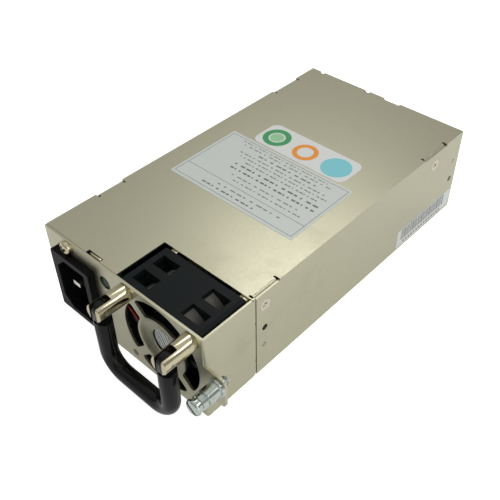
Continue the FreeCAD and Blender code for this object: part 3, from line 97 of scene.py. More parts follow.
class Graph:
    """Writes nodes and links into one node tree."""

    def __init__(self, tree: bpy.types.NodeTree) -> None:
        """Keep the tree.

        Args:
            tree: the material's, group's or world's node tree.
        """
        self.tree = tree

    def node(self, kind: str, **settings: object) -> bpy.types.Node:
        """Add a node and set its own properties.

        Args:
            kind: the node's type name.
            **settings: properties of the node.
        Returns:
            The node.
        """
        made = self.tree.nodes.new(kind)
        for name, value in settings.items():
            setattr(made, name, value)
        return made

    def give(self, socket: Socket, value: Input) -> None:
        """Link a socket to an output, or set its value.

        Args:
            socket: the input socket.
            value: an output socket, a number or a colour.
        """
        if isinstance(value, Socket):
            self.tree.links.new(value, socket)
        else:
            socket.default_value = value

    def feed(self, node: bpy.types.Node, **values: Input) -> bpy.types.Node:
        """Set or link a node's inputs, with _ standing for a space in a socket's name.

        Args:
            node: the node to feed.
            **values: numbers, colours or output sockets.
        Returns:
            The same node.
        """
        for name, value in values.items():
            self.give(node.inputs[name.replace("_", " ")], value)
        return node

    def maths(self, operation: str, *values: Input) -> Socket:
        """One math node.

        Args:
            operation: the math node's operation.
            *values: numbers or sockets.
        Returns:
            Its output socket.
        """
        made = self.node("ShaderNodeMath", operation=operation)
        for socket, value in zip(made.inputs, values):
            self.give(socket, value)
        return made.outputs[0]

    def blend(self, factor: Input, low: Input, high: Input) -> Socket:
        """A colour between two, by a factor from 0 to 1.

        Args:
            factor: number or socket.
            low: colour or socket at 0.
            high: colour or socket at 1.
        Returns:
            The mixed colour's socket.
        """
        made = self.node("ShaderNodeMix", data_type="RGBA")
        for index, value in ((0, factor), (6, low), (7, high)):
            self.give(made.inputs[index], (*value, 1) if isinstance(value, tuple) else value)
        return made.outputs[2]

    def span(self, value: Input, low: Input, high: Input, to_low: float = 0.0, to_high: float = 1.0,
             smooth: bool = False) -> Socket:
        """A value carried from one range to another, and held inside it.

        Args:
            value: the socket to carry over.
            low: start of its range.
            high: end of its range.
            to_low: what low becomes.
            to_high: what high becomes.
            smooth: whether it eases in and out.
        Returns:
            The new value's socket.
        """
        kind = "SMOOTHSTEP" if smooth else "LINEAR"
        made = self.node("ShaderNodeMapRange", clamp=True, interpolation_type=kind)
        self.feed(made, Value=value, From_Min=low, From_Max=high, To_Min=to_low, To_Max=to_high)
        return made.outputs[0]

    def noise(self, place: Input, size_mm: Input, **settings: float) -> Socket:
        """Noise of a given size.

        Args:
            place: the coordinates that it reads.
            size_mm: its size.
            **settings: other inputs of the noise.
        Returns:
            Its value's socket.
        """
        made = self.node("ShaderNodeTexNoise")
        self.feed(made, Vector=place, Scale=self.maths("DIVIDE", 1000.0, size_mm), **settings)
        return made.outputs["Fac"]

    def place(self) -> Socket:
        """The piece's own object coordinates."""
        return self.node("ShaderNodeTexCoord").outputs["Object"]


def new_group(name: str, inputs: dict[str, float]) -> tuple[Graph, bpy.types.NodeOutputs, bpy.types.Node]:
    """A shader group with a Place input, named value inputs and one mask.

    Args:
        name: the group's name.
        inputs: each value input with its default.
    Returns:
        A graph that writes into it, what it is given, and its output node.
    """
    tree = bpy.data.node_groups.new(name, "ShaderNodeTree")
    tree.interface.new_socket("Place", in_out="INPUT", socket_type="NodeSocketVector")
    for label, default in inputs.items():
        made = tree.interface.new_socket(label, in_out="INPUT", socket_type="NodeSocketFloat")
        made.default_value = default
    tree.interface.new_socket("Mask", in_out="OUTPUT", socket_type="NodeSocketFloat")
    graph = Graph(tree)
    return graph, graph.node("NodeGroupInput").outputs, graph.node("NodeGroupOutput")


def grain_group() -> bpy.types.NodeTree:
    """Fine even grain, as plating or moulded plastic has: a mask from 0 to 1."""
    graph, given, out = new_group("fine_grain", {"Size mm": 0.5, "Sharpness": 0.5})
    value = graph.noise(given["Place"], given["Size mm"], Detail=3.0, Roughness=0.6)
    half = graph.maths("MULTIPLY", given["Sharpness"], 0.45)
    low, high = graph.maths("ADD", 0.05, half), graph.maths("SUBTRACT", 0.95, half)
    graph.feed(out, Mask=graph.span(value, low, high))
    return graph.tree


def handling_group() -> bpy.types.NodeTree:
    """Broad soft patches left by handling and storage: a mask from 0 to 1."""
    graph, given, out = new_group("handling_marks", {"Size mm": 30.0, "Spread": 0.5})
    value = graph.noise(given["Place"], given["Size mm"], Detail=4.0, Roughness=0.62, Distortion=0.4)
    low = graph.maths("SUBTRACT", 0.72, graph.maths("MULTIPLY", given["Spread"], 0.3))
    graph.feed(out, Mask=graph.span(value, low, 0.78, smooth=True))
    return graph.tree


def lines_group() -> bpy.types.NodeTree:
    """Long fine lines along X, Y or Z, as turning, rolling or brushing leaves them."""
    inputs = {"Along X": 0.05, "Along Y": 1.0, "Along Z": 1.0, "Size mm": 0.12}
    graph, given, out = new_group("drawn_lines", inputs)
    squeeze = graph.node("ShaderNodeCombineXYZ")
    graph.feed(squeeze, X=given["Along X"], Y=given["Along Y"], Z=given["Along Z"])
    stretched = graph.node("ShaderNodeVectorMath", operation="MULTIPLY")
    graph.give(stretched.inputs[0], given["Place"])
    graph.give(stretched.inputs[1], squeeze.outputs[0])
    value = graph.noise(stretched.outputs[0], given["Size mm"], Detail=2.0, Roughness=0.5)
    graph.feed(out, Mask=graph.span(value, 0.3, 0.7))
    return graph.tree


GROUPS: dict[str, bpy.types.NodeTree] = {
    "grain": grain_group(), "handling": handling_group(), "lines": lines_group()}


def effect(graph: Graph, kind: str, place: Socket, **values: float) -> Socket:
    """Place one of the shared effects.

    Args:
        graph: the material's graph.
        kind: a key of GROUPS.
        place: coordinates that it reads.
        **values: its value inputs.
    Returns:
        Its mask.
    """
    made = graph.node("ShaderNodeGroup", node_tree=GROUPS[kind])
    graph.feed(made, Place=place, **values)
    return made.outputs["Mask"]


# ---- finishes

@dataclass(frozen=True)
class Finish:
    """One surface finish, from which a node material is made.

    Attributes:
        name: the material's name.
        colour: its main colour.
        tint: the colour of its grain and marks.
        metallic: 0 or 1.
        rough: roughness of the clean surface.
        relief_mm: height of the grain in the surface.
        marks_mm: size of the broad marks.
        rough_more: what grain and marks add to the roughness.
        grain_mm: size of the fine grain.
        grain_share: how far the grain goes towards the tint.
        marks_share: how far the marks go towards the tint.
        lines: stretch of drawn lines along X, Y and Z, or None for no lines.
        lines_mm: size of the lines.
        coat: clear coat weight.
        specular: strength of the plain reflection of a plastic.
    """

    name: str
    colour: Colour
    tint: Colour
    metallic: float = 0.0
    rough: float = 0.36
    relief_mm: float = 0.002
    marks_mm: float = 6.0
    rough_more: float = 0.1
    grain_mm: float = 0.3
    grain_share: float = 0.3
    marks_share: float = 0.3
    lines: Colour | None = None
    lines_mm: float = 0.12
    coat: float = 0.0
    specular: float = 0.5

    def material(self) -> bpy.types.Material:
        """Make the material, or give the one already made."""
        if self.name in bpy.data.materials:
            return bpy.data.materials[self.name]
        made = bpy.data.materials.new(self.name)
        made.use_nodes = True
        made.diffuse_color = (*self.colour, 1)
        graph = Graph(made.node_tree)
        shader = made.node_tree.nodes["Principled BSDF"]
        place = graph.place()
        grain = effect(graph, "grain", place, Size_mm=self.grain_mm, Sharpness=0.4)
        marks = effect(graph, "handling", place, Size_mm=self.marks_mm, Spread=0.6)
        height = grain
        if self.lines is not None:
            along = dict(zip(("Along_X", "Along_Y", "Along_Z"), self.lines))
            lines = effect(graph, "lines", place, Size_mm=self.lines_mm, **along)
            grain = graph.maths("MAXIMUM", lines, graph.maths("MULTIPLY", grain, 0.5))
            height = lines
        shade = graph.blend(graph.maths("MULTIPLY", grain, self.grain_share), self.colour, self.tint)
        shade = graph.blend(graph.maths("MULTIPLY", marks, self.marks_share), shade, self.tint)
        both = graph.maths("ADD", graph.maths("MULTIPLY", grain, 0.6), graph.maths("MULTIPLY", marks, 0.4))
        rough = graph.maths("ADD", self.rough, graph.maths("MULTIPLY", both, self.rough_more))
        bump = graph.feed(graph.node("ShaderNodeBump"), Strength=1.0,
                          Distance=self.relief_mm * MM, Height=height)
        graph.feed(shader, Base_Color=shade, Roughness=rough, Normal=bump.outputs[0],
                   Metallic=self.metallic, Coat_Weight=self.coat, Coat_Roughness=0.08,
                   Specular_IOR_Level=self.specular)
        return made


NICKEL_SHEET = Finish(
    "nickel_plated_sheet", (0.515, 0.503, 0.378), (0.36, 0.346, 0.236), 1.0, 0.3, 0.0022, 46.0, 0.16,
    0.55, 0.3, 0.34)
POST_NICKEL = Finish(
    "bright_nickel_post", (0.6, 0.545, 0.385), (0.3, 0.24, 0.13), 1.0, 0.12, 0.001, 8.0, 0.12, 0.5, 0.2,
    0.4, lines=(1.0, 0.06, 1.0), lines_mm=0.1)
ZINC_BLUE = Finish(
    "blue_zinc_plate", (0.53, 0.585, 0.555), (0.19, 0.225, 0.215), 1.0, 0.12, 0.002, 5.0, 0.14, 0.4, 0.3,
    0.4, lines=(1.0, 0.1, 1.0), lines_mm=0.16)
SCREW_STEEL = Finish("plated_screw", (0.66, 0.625, 0.52), (0.4, 0.36, 0.26), 1.0, 0.22, 0.002, 4.0, 0.14)
PIN_STEEL = Finish(
    "ground_pin", (0.56, 0.55, 0.53), (0.36, 0.35, 0.33), 1.0, 0.22, 0.001, 6.0, 0.1, 0.3, 0.2, 0.2,
    lines=(0.1, 1.0, 1.0), lines_mm=0.08)
# dark oiled steel for the fan's pegs, also used as painted shade inside the earth screw's recess
PEG_STEEL_AND_RECESS_SHADE = Finish(
    "oiled_peg_and_painted_recess_shade", (0.17, 0.155, 0.12), (0.07, 0.063, 0.05), 1.0, 0.36, 0.004, 2.0, 0.14, 0.4, 0.4, 0.4)
BAIL_BLACK = Finish(
    "glossy_black_coating", (0.004, 0.0046, 0.005), (0.01, 0.011, 0.012), 0.0, 0.1, 0.0015, 12.0, 0.1,
    0.35, 0.3, 0.5, specular=0.2)
INLET_BLACK = Finish(
    "moulded_inlet_black", (0.0026, 0.0027, 0.0034), (0.0062, 0.0063, 0.0075), 0.0, 0.42, 0.006, 14.0,
    0.12, 0.25, 0.5, specular=0.1)
FAN_BLACK = Finish(
    "moulded_fan_black", (0.0058, 0.0078, 0.0084), (0.015, 0.02, 0.021), 0.0, 0.34, 0.008, 10.0, 0.14,
    0.22, 0.5, 0.4, specular=0.09)
# paler copy of the fan's black plastic: a painted sheen for the lit pocket floors
FAN_POCKET_PAINTED_SHEEN = Finish(
    "pocket_painted_sheen", (0.098, 0.096, 0.087), (0.15, 0.146, 0.132), 0.0, 0.5, 0.006, 6.0, 0.14, 0.2,
    0.5, 0.4, specular=0.2)
BLADE_METAL = Finish(
    "contact_blade", (0.8, 0.79, 0.74), (0.55, 0.53, 0.46), 1.0, 0.2, 0.001, 6.0, 0.1, 0.3, 0.2, 0.2,
    lines=(1.0, 0.08, 1.0), lines_mm=0.1)
FERRITE = Finish(
    "pressed_ferrite", (0.045, 0.045, 0.047), (0.09, 0.088, 0.085), 0.0, 0.62, 0.02, 9.0, 0.15, 0.3, 0.6)
LAMINATION = Finish(
    "varnished_laminations", (0.24, 0.22, 0.2), (0.11, 0.09, 0.07), 1.0, 0.42, 0.01, 6.0, 0.12,
    lines=(0.2, 1.0, 0.2), lines_mm=0.5)
BOARD_GREEN = Finish(
    "lacquered_board", (0.012, 0.085, 0.038), (0.022, 0.14, 0.06), 0.0, 0.28, 0.01, 8.0, 0.1, 0.5, 0.4,
    0.4, coat=0.3)
GOLD_CONTACT = Finish(
    "gold_contact", (0.86, 0.62, 0.22), (0.62, 0.42, 0.12), 1.0, 0.2, 0.001, 5.0, 0.12, 0.3, 0.2,
    lines=(1.0, 0.06, 1.0), lines_mm=0.1)
LENS_GREEN = Finish(
    "dark_green_lens", (0.006, 0.036, 0.014), (0.016, 0.07, 0.03), 0.0, 0.3, 0.002, 3.0, 0.1, 0.6, 0.4,
    specular=0.3)
FILM = Finish(
    "insulating_film", (0.6, 0.56, 0.36), (0.5, 0.45, 0.27), 0.0, 0.3, 0.002, 20.0, 0.1, 0.8, 0.2)
WIRE_BLUE = Finish(
    "blue_wire_sleeve", (0.016, 0.05, 0.24), (0.03, 0.08, 0.32), 0.0, 0.35, 0.003, 4.0, 0.1, 0.5)
WIRE_RED = Finish(
    "red_wire_sleeve", (0.4, 0.012, 0.012), (0.5, 0.03, 0.02), 0.0, 0.34, 0.003, 4.0, 0.1, 0.5)
WINDING = Finish(
    "copper_winding", (0.62, 0.24, 0.08), (0.34, 0.1, 0.03), 1.0, 0.28, 0.05, 6.0, 0.12, 0.5,
    lines=(1.0, 0.15, 0.15), lines_mm=0.9)
TAPE = Finish(
    "taped_winding", (0.72, 0.47, 0.05), (0.55, 0.33, 0.03), 0.0, 0.34, 0.01, 10.0, 0.1, 0.6, 0.3, 0.4,
    lines=(0.1, 0.1, 1.0), lines_mm=0.8)
BOX_YELLOW = Finish(
    "moulded_box_yellow", (0.66, 0.41, 0.05), (0.52, 0.3, 0.03), 0.0, 0.38, 0.008, 10.0, 0.12)
SLEEVE_DARK = Finish(
    "capacitor_sleeve", (0.012, 0.016, 0.045), (0.03, 0.036, 0.075), 0.0, 0.26, 0.003, 8.0, 0.1, 0.5)
CERAMIC = Finish("fuse_ceramic", (0.76, 0.72, 0.62), (0.62, 0.57, 0.46), 0.0, 0.4, 0.005, 6.0, 0.1, 0.4)
EXTRUDED = Finish(
    "extruded_aluminium", (0.74, 0.745, 0.76), (0.52, 0.52, 0.53), 1.0, 0.32, 0.004, 14.0, 0.12, 0.4, 0.2,
    lines=(1.0, 0.04, 1.0), lines_mm=0.25)
PACKAGE = Finish(
    "moulded_package", (0.018, 0.018, 0.019), (0.036, 0.036, 0.038), 0.0, 0.5, 0.01, 8.0, 0.12, 0.2, 0.5)
MAGNET = Finish(
    "bonded_magnet", (0.05, 0.046, 0.042), (0.085, 0.08, 0.072), 0.0, 0.55, 0.01, 6.0, 0.12, 0.3, 0.5)
LABEL_SILVER = Finish(
    "silver_label_film", (0.66, 0.7, 0.675), (0.57, 0.605, 0.58), 0.0, 0.34, 0.0008, 40.0, 0.08, 0.5,
    0.25, 0.25)
LABEL_WHITE = Finish(
    "white_label_film", (0.76, 0.785, 0.77), (0.7, 0.715, 0.7), 0.0, 0.36, 0.0008, 30.0, 0.08, 0.5, 0.2,
    0.25)
FAN_LABEL = Finish("silver_fan_label", (0.86, 0.9, 0.88), (0.7, 0.74, 0.73), 0.0, 0.3, 0.002, 5.0, 0.12)
INK_DARK = Finish(
    "dark_print", (0.028, 0.032, 0.04), (0.06, 0.065, 0.075), 0.0, 0.42, 0.0005, 10.0, 0.08, 0.3, 0.3,
    0.2)
INK_GREY = Finish(
    "grey_print", (0.14, 0.15, 0.16), (0.22, 0.23, 0.24), 0.0, 0.42, 0.0005, 10.0, 0.08, 0.3, 0.3, 0.2)
INK_GREEN = Finish("green_print", (0.03, 0.32, 0.1), (0.07, 0.4, 0.16), 0.0, 0.36, 0.0005, 8.0, 0.08, 0.5)
INK_PALE_GREEN = Finish(
    "pale_green_print", (0.26, 0.6, 0.3), (0.42, 0.7, 0.45), 0.0, 0.36, 0.0005, 6.0, 0.08, 0.6, 0.6)
INK_ORANGE = Finish(
    "orange_print", (0.88, 0.3, 0.012), (0.92, 0.38, 0.05), 0.0, 0.36, 0.0005, 8.0, 0.08, 0.5)
INK_BLUE = Finish(
    "light_blue_print", (0.2, 0.62, 0.7), (0.28, 0.69, 0.76), 0.0, 0.36, 0.0005, 8.0, 0.08, 0.5)


# ---- mesh work

def outward(axis: Vector) -> Matrix:
    """The turn that carries +Z on to an axis.

    Args:
        axis: the wanted direction.
    Returns:
        A 4 x 4 rotation.
    """
    return Vector((0, 0, 1)).rotation_difference(axis).to_matrix().to_4x4()


def add_block(bm: Draft, low: Place, high: Place,
              ease: float = 0.0) -> list[bmesh.types.BMVert]:
    """Add a block, with its edges eased.

    Args:
        bm: the mesh being made.
        low: its lowest corner.
        high: its highest corner.
        ease: radius of its edges.
    Returns:
        The block's vertices.
    """
    low_v, high_v = Vector(low), Vector(high)
    made = bmesh.ops.create_cube(bm, size=1.0)["verts"]
    bmesh.ops.scale(bm, vec=high_v - low_v, verts=made)
    bmesh.ops.translate(bm, vec=(low_v + high_v) / 2, verts=made)
    if ease > 0:
        edges = list({edge for vert in made for edge in vert.link_edges})
        result = bmesh.ops.bevel(bm, geom=edges, offset=ease, segments=2, profile=0.5, affect="EDGES",
                                 material=-1)
        return result["verts"]
    return made


def add_turned(bm: Draft, profile: Sequence[tuple[float, float]], at: Place,
               axis: Axis, steps: int = 64) -> None:
    """Add a solid of revolution.

    Args:
        bm: the mesh being made.
        profile: pairs of radius and distance along the axis, in order.
        at: where the axis starts.
        axis: the way that distance grows.
        steps: segments of a full turn.
    """
    turn = Matrix.Translation(Vector(at)) @ outward(axis.value)
    verts = [bm.verts.new(turn @ Vector((radius, 0, along))) for radius, along in profile]
    edges = [bm.edges.new(pair) for pair in zip(verts, verts[1:])]
    before = set(bm.faces)
    bmesh.ops.spin(bm, geom=verts + edges, cent=Vector(at), axis=axis.value, dvec=(0, 0, 0),
                   angle=math.tau, steps=steps, use_merge=True, use_duplicate=False)
    fresh = [face for face in bm.faces if face not in before]
    spots = list({vert for face in fresh for vert in face.verts})
    bmesh.ops.remove_doubles(bm, verts=spots, dist=MERGE)
    fresh = [face for face in bm.faces if face not in before]
    bmesh.ops.recalc_face_normals(bm, faces=fresh)


def add_disc(bm: Draft, at: Place, radius: float, thick: float, axis: Axis,
             hole: float = 0.0, steps: int = 72) -> None:
    """Add a flat disc or ring.

    Args:
        bm: the mesh being made.
        at: middle of its back face.
        radius: its radius.
        thick: its thickness.
        axis: the way it faces.
        hole: radius of its hole, 0 for none.
        steps: segments of a full turn.
    """
    ease = min(thick * 0.4, 0.03)
    inner = [(hole, 0.0), (hole, thick)] if hole else [(0.0, 0.0), (0.0, thick)]
    profile = [inner[0], (radius, 0.0), (radius, thick - ease), (radius - ease, thick), inner[1]]
    if hole:
        profile.append(inner[0])
    add_turned(bm, profile, at, axis, steps)


def rounded_plate(bm: Draft, low: Place, high: Place, radius: float,
                  axis: Axis) -> None:
    """Add a thin plate with round corners.

    Args:
        bm: the mesh being made.
        low: its lowest corner.
        high: its highest corner.
        radius: corner radius.
        axis: the direction of its thickness.
    """
    verts = add_block(bm, low, high)
    along = axis.value
    corners = [edge for edge in {e for v in verts for e in v.link_edges}
               if abs((edge.verts[0].co - edge.verts[1].co).normalized().dot(along)) > 0.99]
    bmesh.ops.bevel(bm, geom=corners, offset=radius, segments=8, profile=0.5, affect="EDGES", material=-1)


def mesh_of(bm: Draft, name: str) -> bpy.types.Mesh:
    """Turn a mesh drawn in millimetres into one in metres.

    Args:
        bm: the drawn mesh, which is used up.
        name: the new mesh's name.
    Returns:
        The mesh.
    """
    bmesh.ops.scale(bm, vec=(MM, MM, MM), verts=bm.verts)
    mesh = bpy.data.meshes.new(name)
    bm.to_mesh(mesh)
    bm.free()
    return mesh


def put(name: str, data: bpy.types.ID) -> Piece:
    """Put a mesh, lamp or camera in the scene.

    Args:
        name: the object's name.
        data: what it shows.
    Returns:
        The object.
    """
    made = bpy.data.objects.new(name, data)
    bpy.context.scene.collection.objects.link(made)
    return made


def finish_piece(bm: Draft, name: str, coat: Finish, body: str = "case",
                 smooth: float = SMOOTH_UNDER) -> Piece:
    """Turn a mesh drawn in millimetres into a piece that rides on a body.

    Args:
        bm: the mesh, which is used up.
        name: the piece's name.
        coat: its finish.
        body: the CAD body that it rides on.
        smooth: edges under this angle are shaded smooth.
    Returns:
        The piece.
    """
    mesh = mesh_of(bm, name)
    mesh.materials.append(coat.material())
    piece = put(name, mesh)
    mesh.shade_smooth()
    mesh.set_sharp_from_angle(angle=smooth)
    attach(piece, body)
    log.info("piece %s: %d faces", name, len(mesh.polygons))
    return piece


def node_copy(node: str) -> Draft:
    """A CAD node's mesh, merged and with its flat faces joined.

    Args:
        node: the CAD node's name.
    Returns:
        The mesh.
    """
    bm = bmesh.new()
    bm.from_mesh(frame["nodes"][node].data)
    bmesh.ops.scale(bm, vec=(1 / MM, 1 / MM, 1 / MM), verts=bm.verts)
    bmesh.ops.remove_doubles(bm, verts=bm.verts, dist=MERGE)
    bmesh.ops.dissolve_limit(bm, angle_limit=FLAT_UNDER, verts=bm.verts, edges=bm.edges)
    return bm


def ease_edges(piece: Piece, width_mm: float, segments: int = 2, angle: float = math.radians(38.0),
               sheet: bool = False) -> None:
    """Round a piece's sharp edges and keep its flat faces flat.

    Args:
        piece: the piece.
        width_mm: radius of the edges.
        segments: steps of each rounded edge.
        angle: edges over this angle are rounded.
        sheet: whether it is a sheet whose wide faces must shade flat beside its bends.
    """
    bevel = piece.modifiers.new("eased_edges", "BEVEL")
    bevel.width = width_mm * MM
    bevel.segments = segments
    bevel.limit_method = "ANGLE"
    bevel.angle_limit = angle
    bevel.use_clamp_overlap = True
    bevel.harden_normals = True
    if sheet:
        flat = piece.modifiers.new("flat_faces", "WEIGHTED_NORMAL")
        flat.mode, flat.weight, flat.keep_sharp = "FACE_AREA", 90, True


def carve(piece: Piece, cutter: Draft, crossed: bool = False) -> None:
    """Cut a shape drawn in millimetres out of a piece.

    Args:
        piece: the piece to cut.
        cutter: the shape to take away, which is used up.
        crossed: whether the shape's own parts run through each other.
    """
    bmesh.ops.recalc_face_normals(cutter, faces=cutter.faces)
    mesh = mesh_of(cutter, "cutter")
    tool = put("cutter", mesh)
    cut = piece.modifiers.new("carve", "BOOLEAN")
    cut.operation, cut.solver, cut.object = "DIFFERENCE", "EXACT", tool
    cut.use_self = crossed
    bpy.context.view_layer.update()
    graph = bpy.context.evaluated_depsgraph_get()
    carved = bpy.data.meshes.new_from_object(piece.evaluated_get(graph))
    piece.modifiers.remove(cut)
    old, piece.data = piece.data, carved
    bpy.data.meshes.remove(old)
    bpy.data.objects.remove(tool)
    bpy.data.meshes.remove(mesh)
    piece.data.shade_smooth()
    piece.data.set_sharp_from_angle(angle=SMOOTH_UNDER)


def recess_tool(at: Place, axis: Axis, size: float, deep: float) -> Draft:
    """The cross-shaped driver recess of a screw, tapered to its bottom.

    Args:
        at: middle of the screw head's face.
        axis: the way the head faces.
        size: length of the cross.
        deep: its depth.
    Returns:
        The shape to cut away.
    """
    bm = bmesh.new()
    for spin in (0.0, math.pi / 2):
        arm = bmesh.ops.create_cube(bm, size=1.0)["verts"]
        bmesh.ops.scale(bm, vec=(size, size * 0.24, deep * 2), verts=arm)
        foot = [vert for vert in arm if vert.co.z < 0]
        bmesh.ops.scale(bm, vec=(0.45, 0.7, 1), verts=foot)
        bmesh.ops.rotate(bm, matrix=Matrix.Rotation(spin + 0.5, 3, "Z"), verts=arm)
    bmesh.ops.transform(bm, matrix=Matrix.Translation(Vector(at)) @ outward(axis.value), verts=bm.verts)
    return bm


@dataclass(frozen=True)
class Coated:
    """A CAD node shown by a finished copy of itself."""

    node: str
    coat: Finish = NICKEL_SHEET
    slot: str = "nickel_sheet"
    edge_mm: float = 0.12
    segments: int = 2

    def build(self) -> Piece:
        """Make the copy, ease its edges and let it stand for the node."""
        body = frame["nodes"][self.node]["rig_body"]
        piece = finish_piece(node_copy(self.node), f"{self.node}_finished", self.coat, body)
        if self.edge_mm > 0:
            ease_edges(piece, self.edge_mm, self.segments)
        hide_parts(self.node)
        return piece


def keep(coat: Finish, *nodes: str) -> None:
    """Show CAD nodes in their own shape, with a better finish.

    Args:
        coat: the finish.
        *nodes: the nodes.
    """
    for node in nodes:
        shown = frame["nodes"][node]
        if not shown.material_slots:
            shown.data.materials.append(None)
        for place in shown.material_slots:
            place.material = coat.material()
        log.info("kept %s", node)


def span_of(node: str) -> tuple[Vector, Vector]:
    """The size and place of a CAD node.

    Args:
        node: the node's name.
    Returns:
        Its lowest and highest corners.
    """
    low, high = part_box(node)
    return low / MM, high / MM


def front_of(node: str) -> Vector:
    """The middle of the front of a CAD node's box.

    Args:
        node: the node's name.
    Returns:
        The point.
    """
    low, high = span_of(node)
    return Vector(((low.x + high.x) / 2, low.y, (low.z + high.z) / 2))


# ---- sheet metal case

@dataclass
class SheetCase:
    """The folded case, its cover screws and its pressed marks."""

    screw_head: float = 2.65
    screw_size: float = 3.3
    mark_rad: float = 0.32
    mark_ring: float = 0.75
    mark_deep: float = 0.28
    mark_turn: float = 0.4
    notch_rad: float = 0.45
    sheet_step: float = 1.0
    bowl_rad: float = 11.25
    bowl_hole: float = 6.2
    bowl_deep: float = 1.35
    notch_x: tuple[float, float] = (-18.2, -10.4)
    # reach from the earth screw's axis of the painted shade in its recess
    recess_shade_reach: float = 1.7

    def build(self) -> None:
        """Make the case's sheets and screws."""
        tray = Coated("base_tray", edge_mm=0.0).build()
        self.punch_marks(tray)
        ease_edges(tray, 0.18, sheet=True)
        front = Coated("front_panel", edge_mm=0.0).build()
        room = bmesh.new()
        self.flange_reliefs(room)
        self.guard_bowl(room)
        self.lip_notch(room)
        carve(front, room)
        ease_edges(front, 0.26, 3, sheet=True)
        Coated("rear_panel", edge_mm=0.14).build()
        cover = Coated("top_cover", edge_mm=0.0).build()
        room = bmesh.new()
        self.lip_notch(room)
        carve(cover, room)
        self.notch_lip()
        ease_edges(cover, 0.24, 3, sheet=True)
        self.cover_screws()
        self.earth_screw()
        self.bay_clips()

    def punch_marks(self, tray: Piece) -> None:
        """Small pressed rosettes in the right wall, below its front hole and near its rear hole.

        Args:
            tray: the tray's piece.
        """
        low, high = span_of("base_tray")
        cutter = bmesh.new()
        for y, z, count in ((low.y + 28.0, 13.4, 5), (high.y - 4.3, 27.3, 4)):
            for i in range(count):
                turn = math.tau * i / count + self.mark_turn
                at = (high.x - self.mark_deep, y + self.mark_ring * math.cos(turn),
                      z + self.mark_ring * math.sin(turn))
                add_disc(cutter, at, self.mark_rad, 0.8, Axis.X, steps=12)
        carve(tray, cutter)

    def flange_reliefs(self, room: Draft) -> None:
        """Two small reliefs in the rear edge of the front sheet's side flange.

        Args:
            room: the shape to cut away.
        """
        low, high = span_of("base_tray")
        for z in (8.3, 28.0):
            at = (high.x - 0.9, low.y - self.sheet_step + 24.6, z)
            add_disc(room, at, self.notch_rad, 1.6, Axis.X, steps=16)

    def guard_bowl(self, room: Draft) -> None:
        """The finger guard's middle as a shallow spun bowl with a rolled hole.

        Args:
            room: the shape to cut out of the front sheet, which makes room for the bowl.
        """
        x, _, z = front_of("fan_frame")
        face = span_of("base_tray")[0].y - self.sheet_step
        add_disc(room, (x, face + 3.0, z), self.bowl_rad, 4.0, Axis.BACK_Y, steps=96)
        r, hole, deep, thick = self.bowl_rad - 0.01, self.bowl_hole, self.bowl_deep, 0.5
        profile = [(r, 0.0), (r - 0.35, 0.03), (r - 0.9, 0.16), (r - 2.6, 0.62 * deep),
                   (hole + 0.9, 0.94 * deep), (hole + 0.25, deep), (hole, deep + 0.16),
                   (hole, deep + thick), (hole + 0.9, deep + thick), (r - 2.6, 0.62 * deep + thick),
                   (r, thick + 0.1), (r, 0.0)]
        bm = bmesh.new()
        add_turned(bm, profile, (x, face, z), Axis.Y, 96)
        finish_piece(bm, "finger_guard_bowl", NICKEL_SHEET, smooth=math.radians(50.0))

    def lip_notch(self, room: Draft) -> None:
        """The rectangular notch where the cover's front edge meets the front sheet.

        Args:
            room: the shape to cut away.
        """
        front, top = span_of("base_tray")[0].y - self.sheet_step, span_of("top_cover")[1].z
        left, right = self.notch_x
        add_block(room, (left, front + 1.15, top - 1.3), (right, front + 2.7, top + 0.5))

    def notch_lip(self) -> None:
        """The folded lip that stands in the notch, with dark gaps at its ends."""
        front, top = span_of("base_tray")[0].y - self.sheet_step, span_of("top_cover")[1].z
        left, right = self.notch_x
        bm = bmesh.new()
        add_block(bm, (left + 1.3, front + 1.75, top - 1.25), (right - 0.7, front + 2.55, top - 0.35), 0.16)
        finish_piece(bm, "notch_lip", POST_NICKEL)

    def cover_screws(self) -> None:
        """Countersunk cover screws with cross recesses, flush in the side walls."""
        low, high = span_of("cover_screws")
        bm = bmesh.new()
        spots = [((x, y, (low.z + high.z) / 2), axis) for y in (low.y + 2.7, high.y - 2.7)
                 for x, axis in ((high.x, Axis.X), (low.x, Axis.BACK_X))]
        for at, axis in spots:
            r = self.screw_head
            profile = [(0.0, -4.3), (1.2, -4.3), (1.38, -4.1), (1.38, -1.25), (r - 0.12, -0.12),
                       (r - 0.12, -0.04), (r - 0.2, -0.01), (r - 0.8, -0.05), (0.0, -0.12)]
            add_turned(bm, profile, at, axis, 48)
        piece = finish_piece(bm, "cover_screw_heads", SCREW_STEEL)
        for at, axis in spots:
            carve(piece, recess_tool(at, axis, self.screw_size, 0.85), crossed=True)
        ease_edges(piece, 0.05)
        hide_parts("cover_screws")

    def earth_screw(self) -> None:
        """Pan head screw with a cross recess, above the inlet, its recess faces given the dark peg finish
        as painted shade.
        """
        x, face, z = front_of("earth_screw")
        bm = bmesh.new()
        profile = [(0.0, -0.5), (0.9, -0.46), (1.7, -0.28), (2.3, 0.06), (2.68, 0.55), (2.8, 1.1),
                   (2.8, 1.8), (1.5, 1.8), (1.5, 6.4), (1.2, 6.8), (0.0, 6.8)]
        add_turned(bm, profile, (x, face, z), Axis.Y, 48)
        piece = finish_piece(bm, "earth_screw_head", POST_NICKEL)
        piece.data.materials.append(PEG_STEEL_AND_RECESS_SHADE.material())
        carve(piece, recess_tool((x, face - 0.4, z), Axis.BACK_Y, 5.2, 1.5), crossed=True)
        # faces inside the cross recess take the dark finish: painted shade in the recess
        for part in piece.data.polygons:
            across = math.hypot(part.center.x / MM - x, part.center.z / MM - z)
            if across < self.recess_shade_reach and face - 0.15 < part.center.y / MM < face + 1.6:
                part.material_index = 1
        ease_edges(piece, 0.06)
        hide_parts("earth_screw")

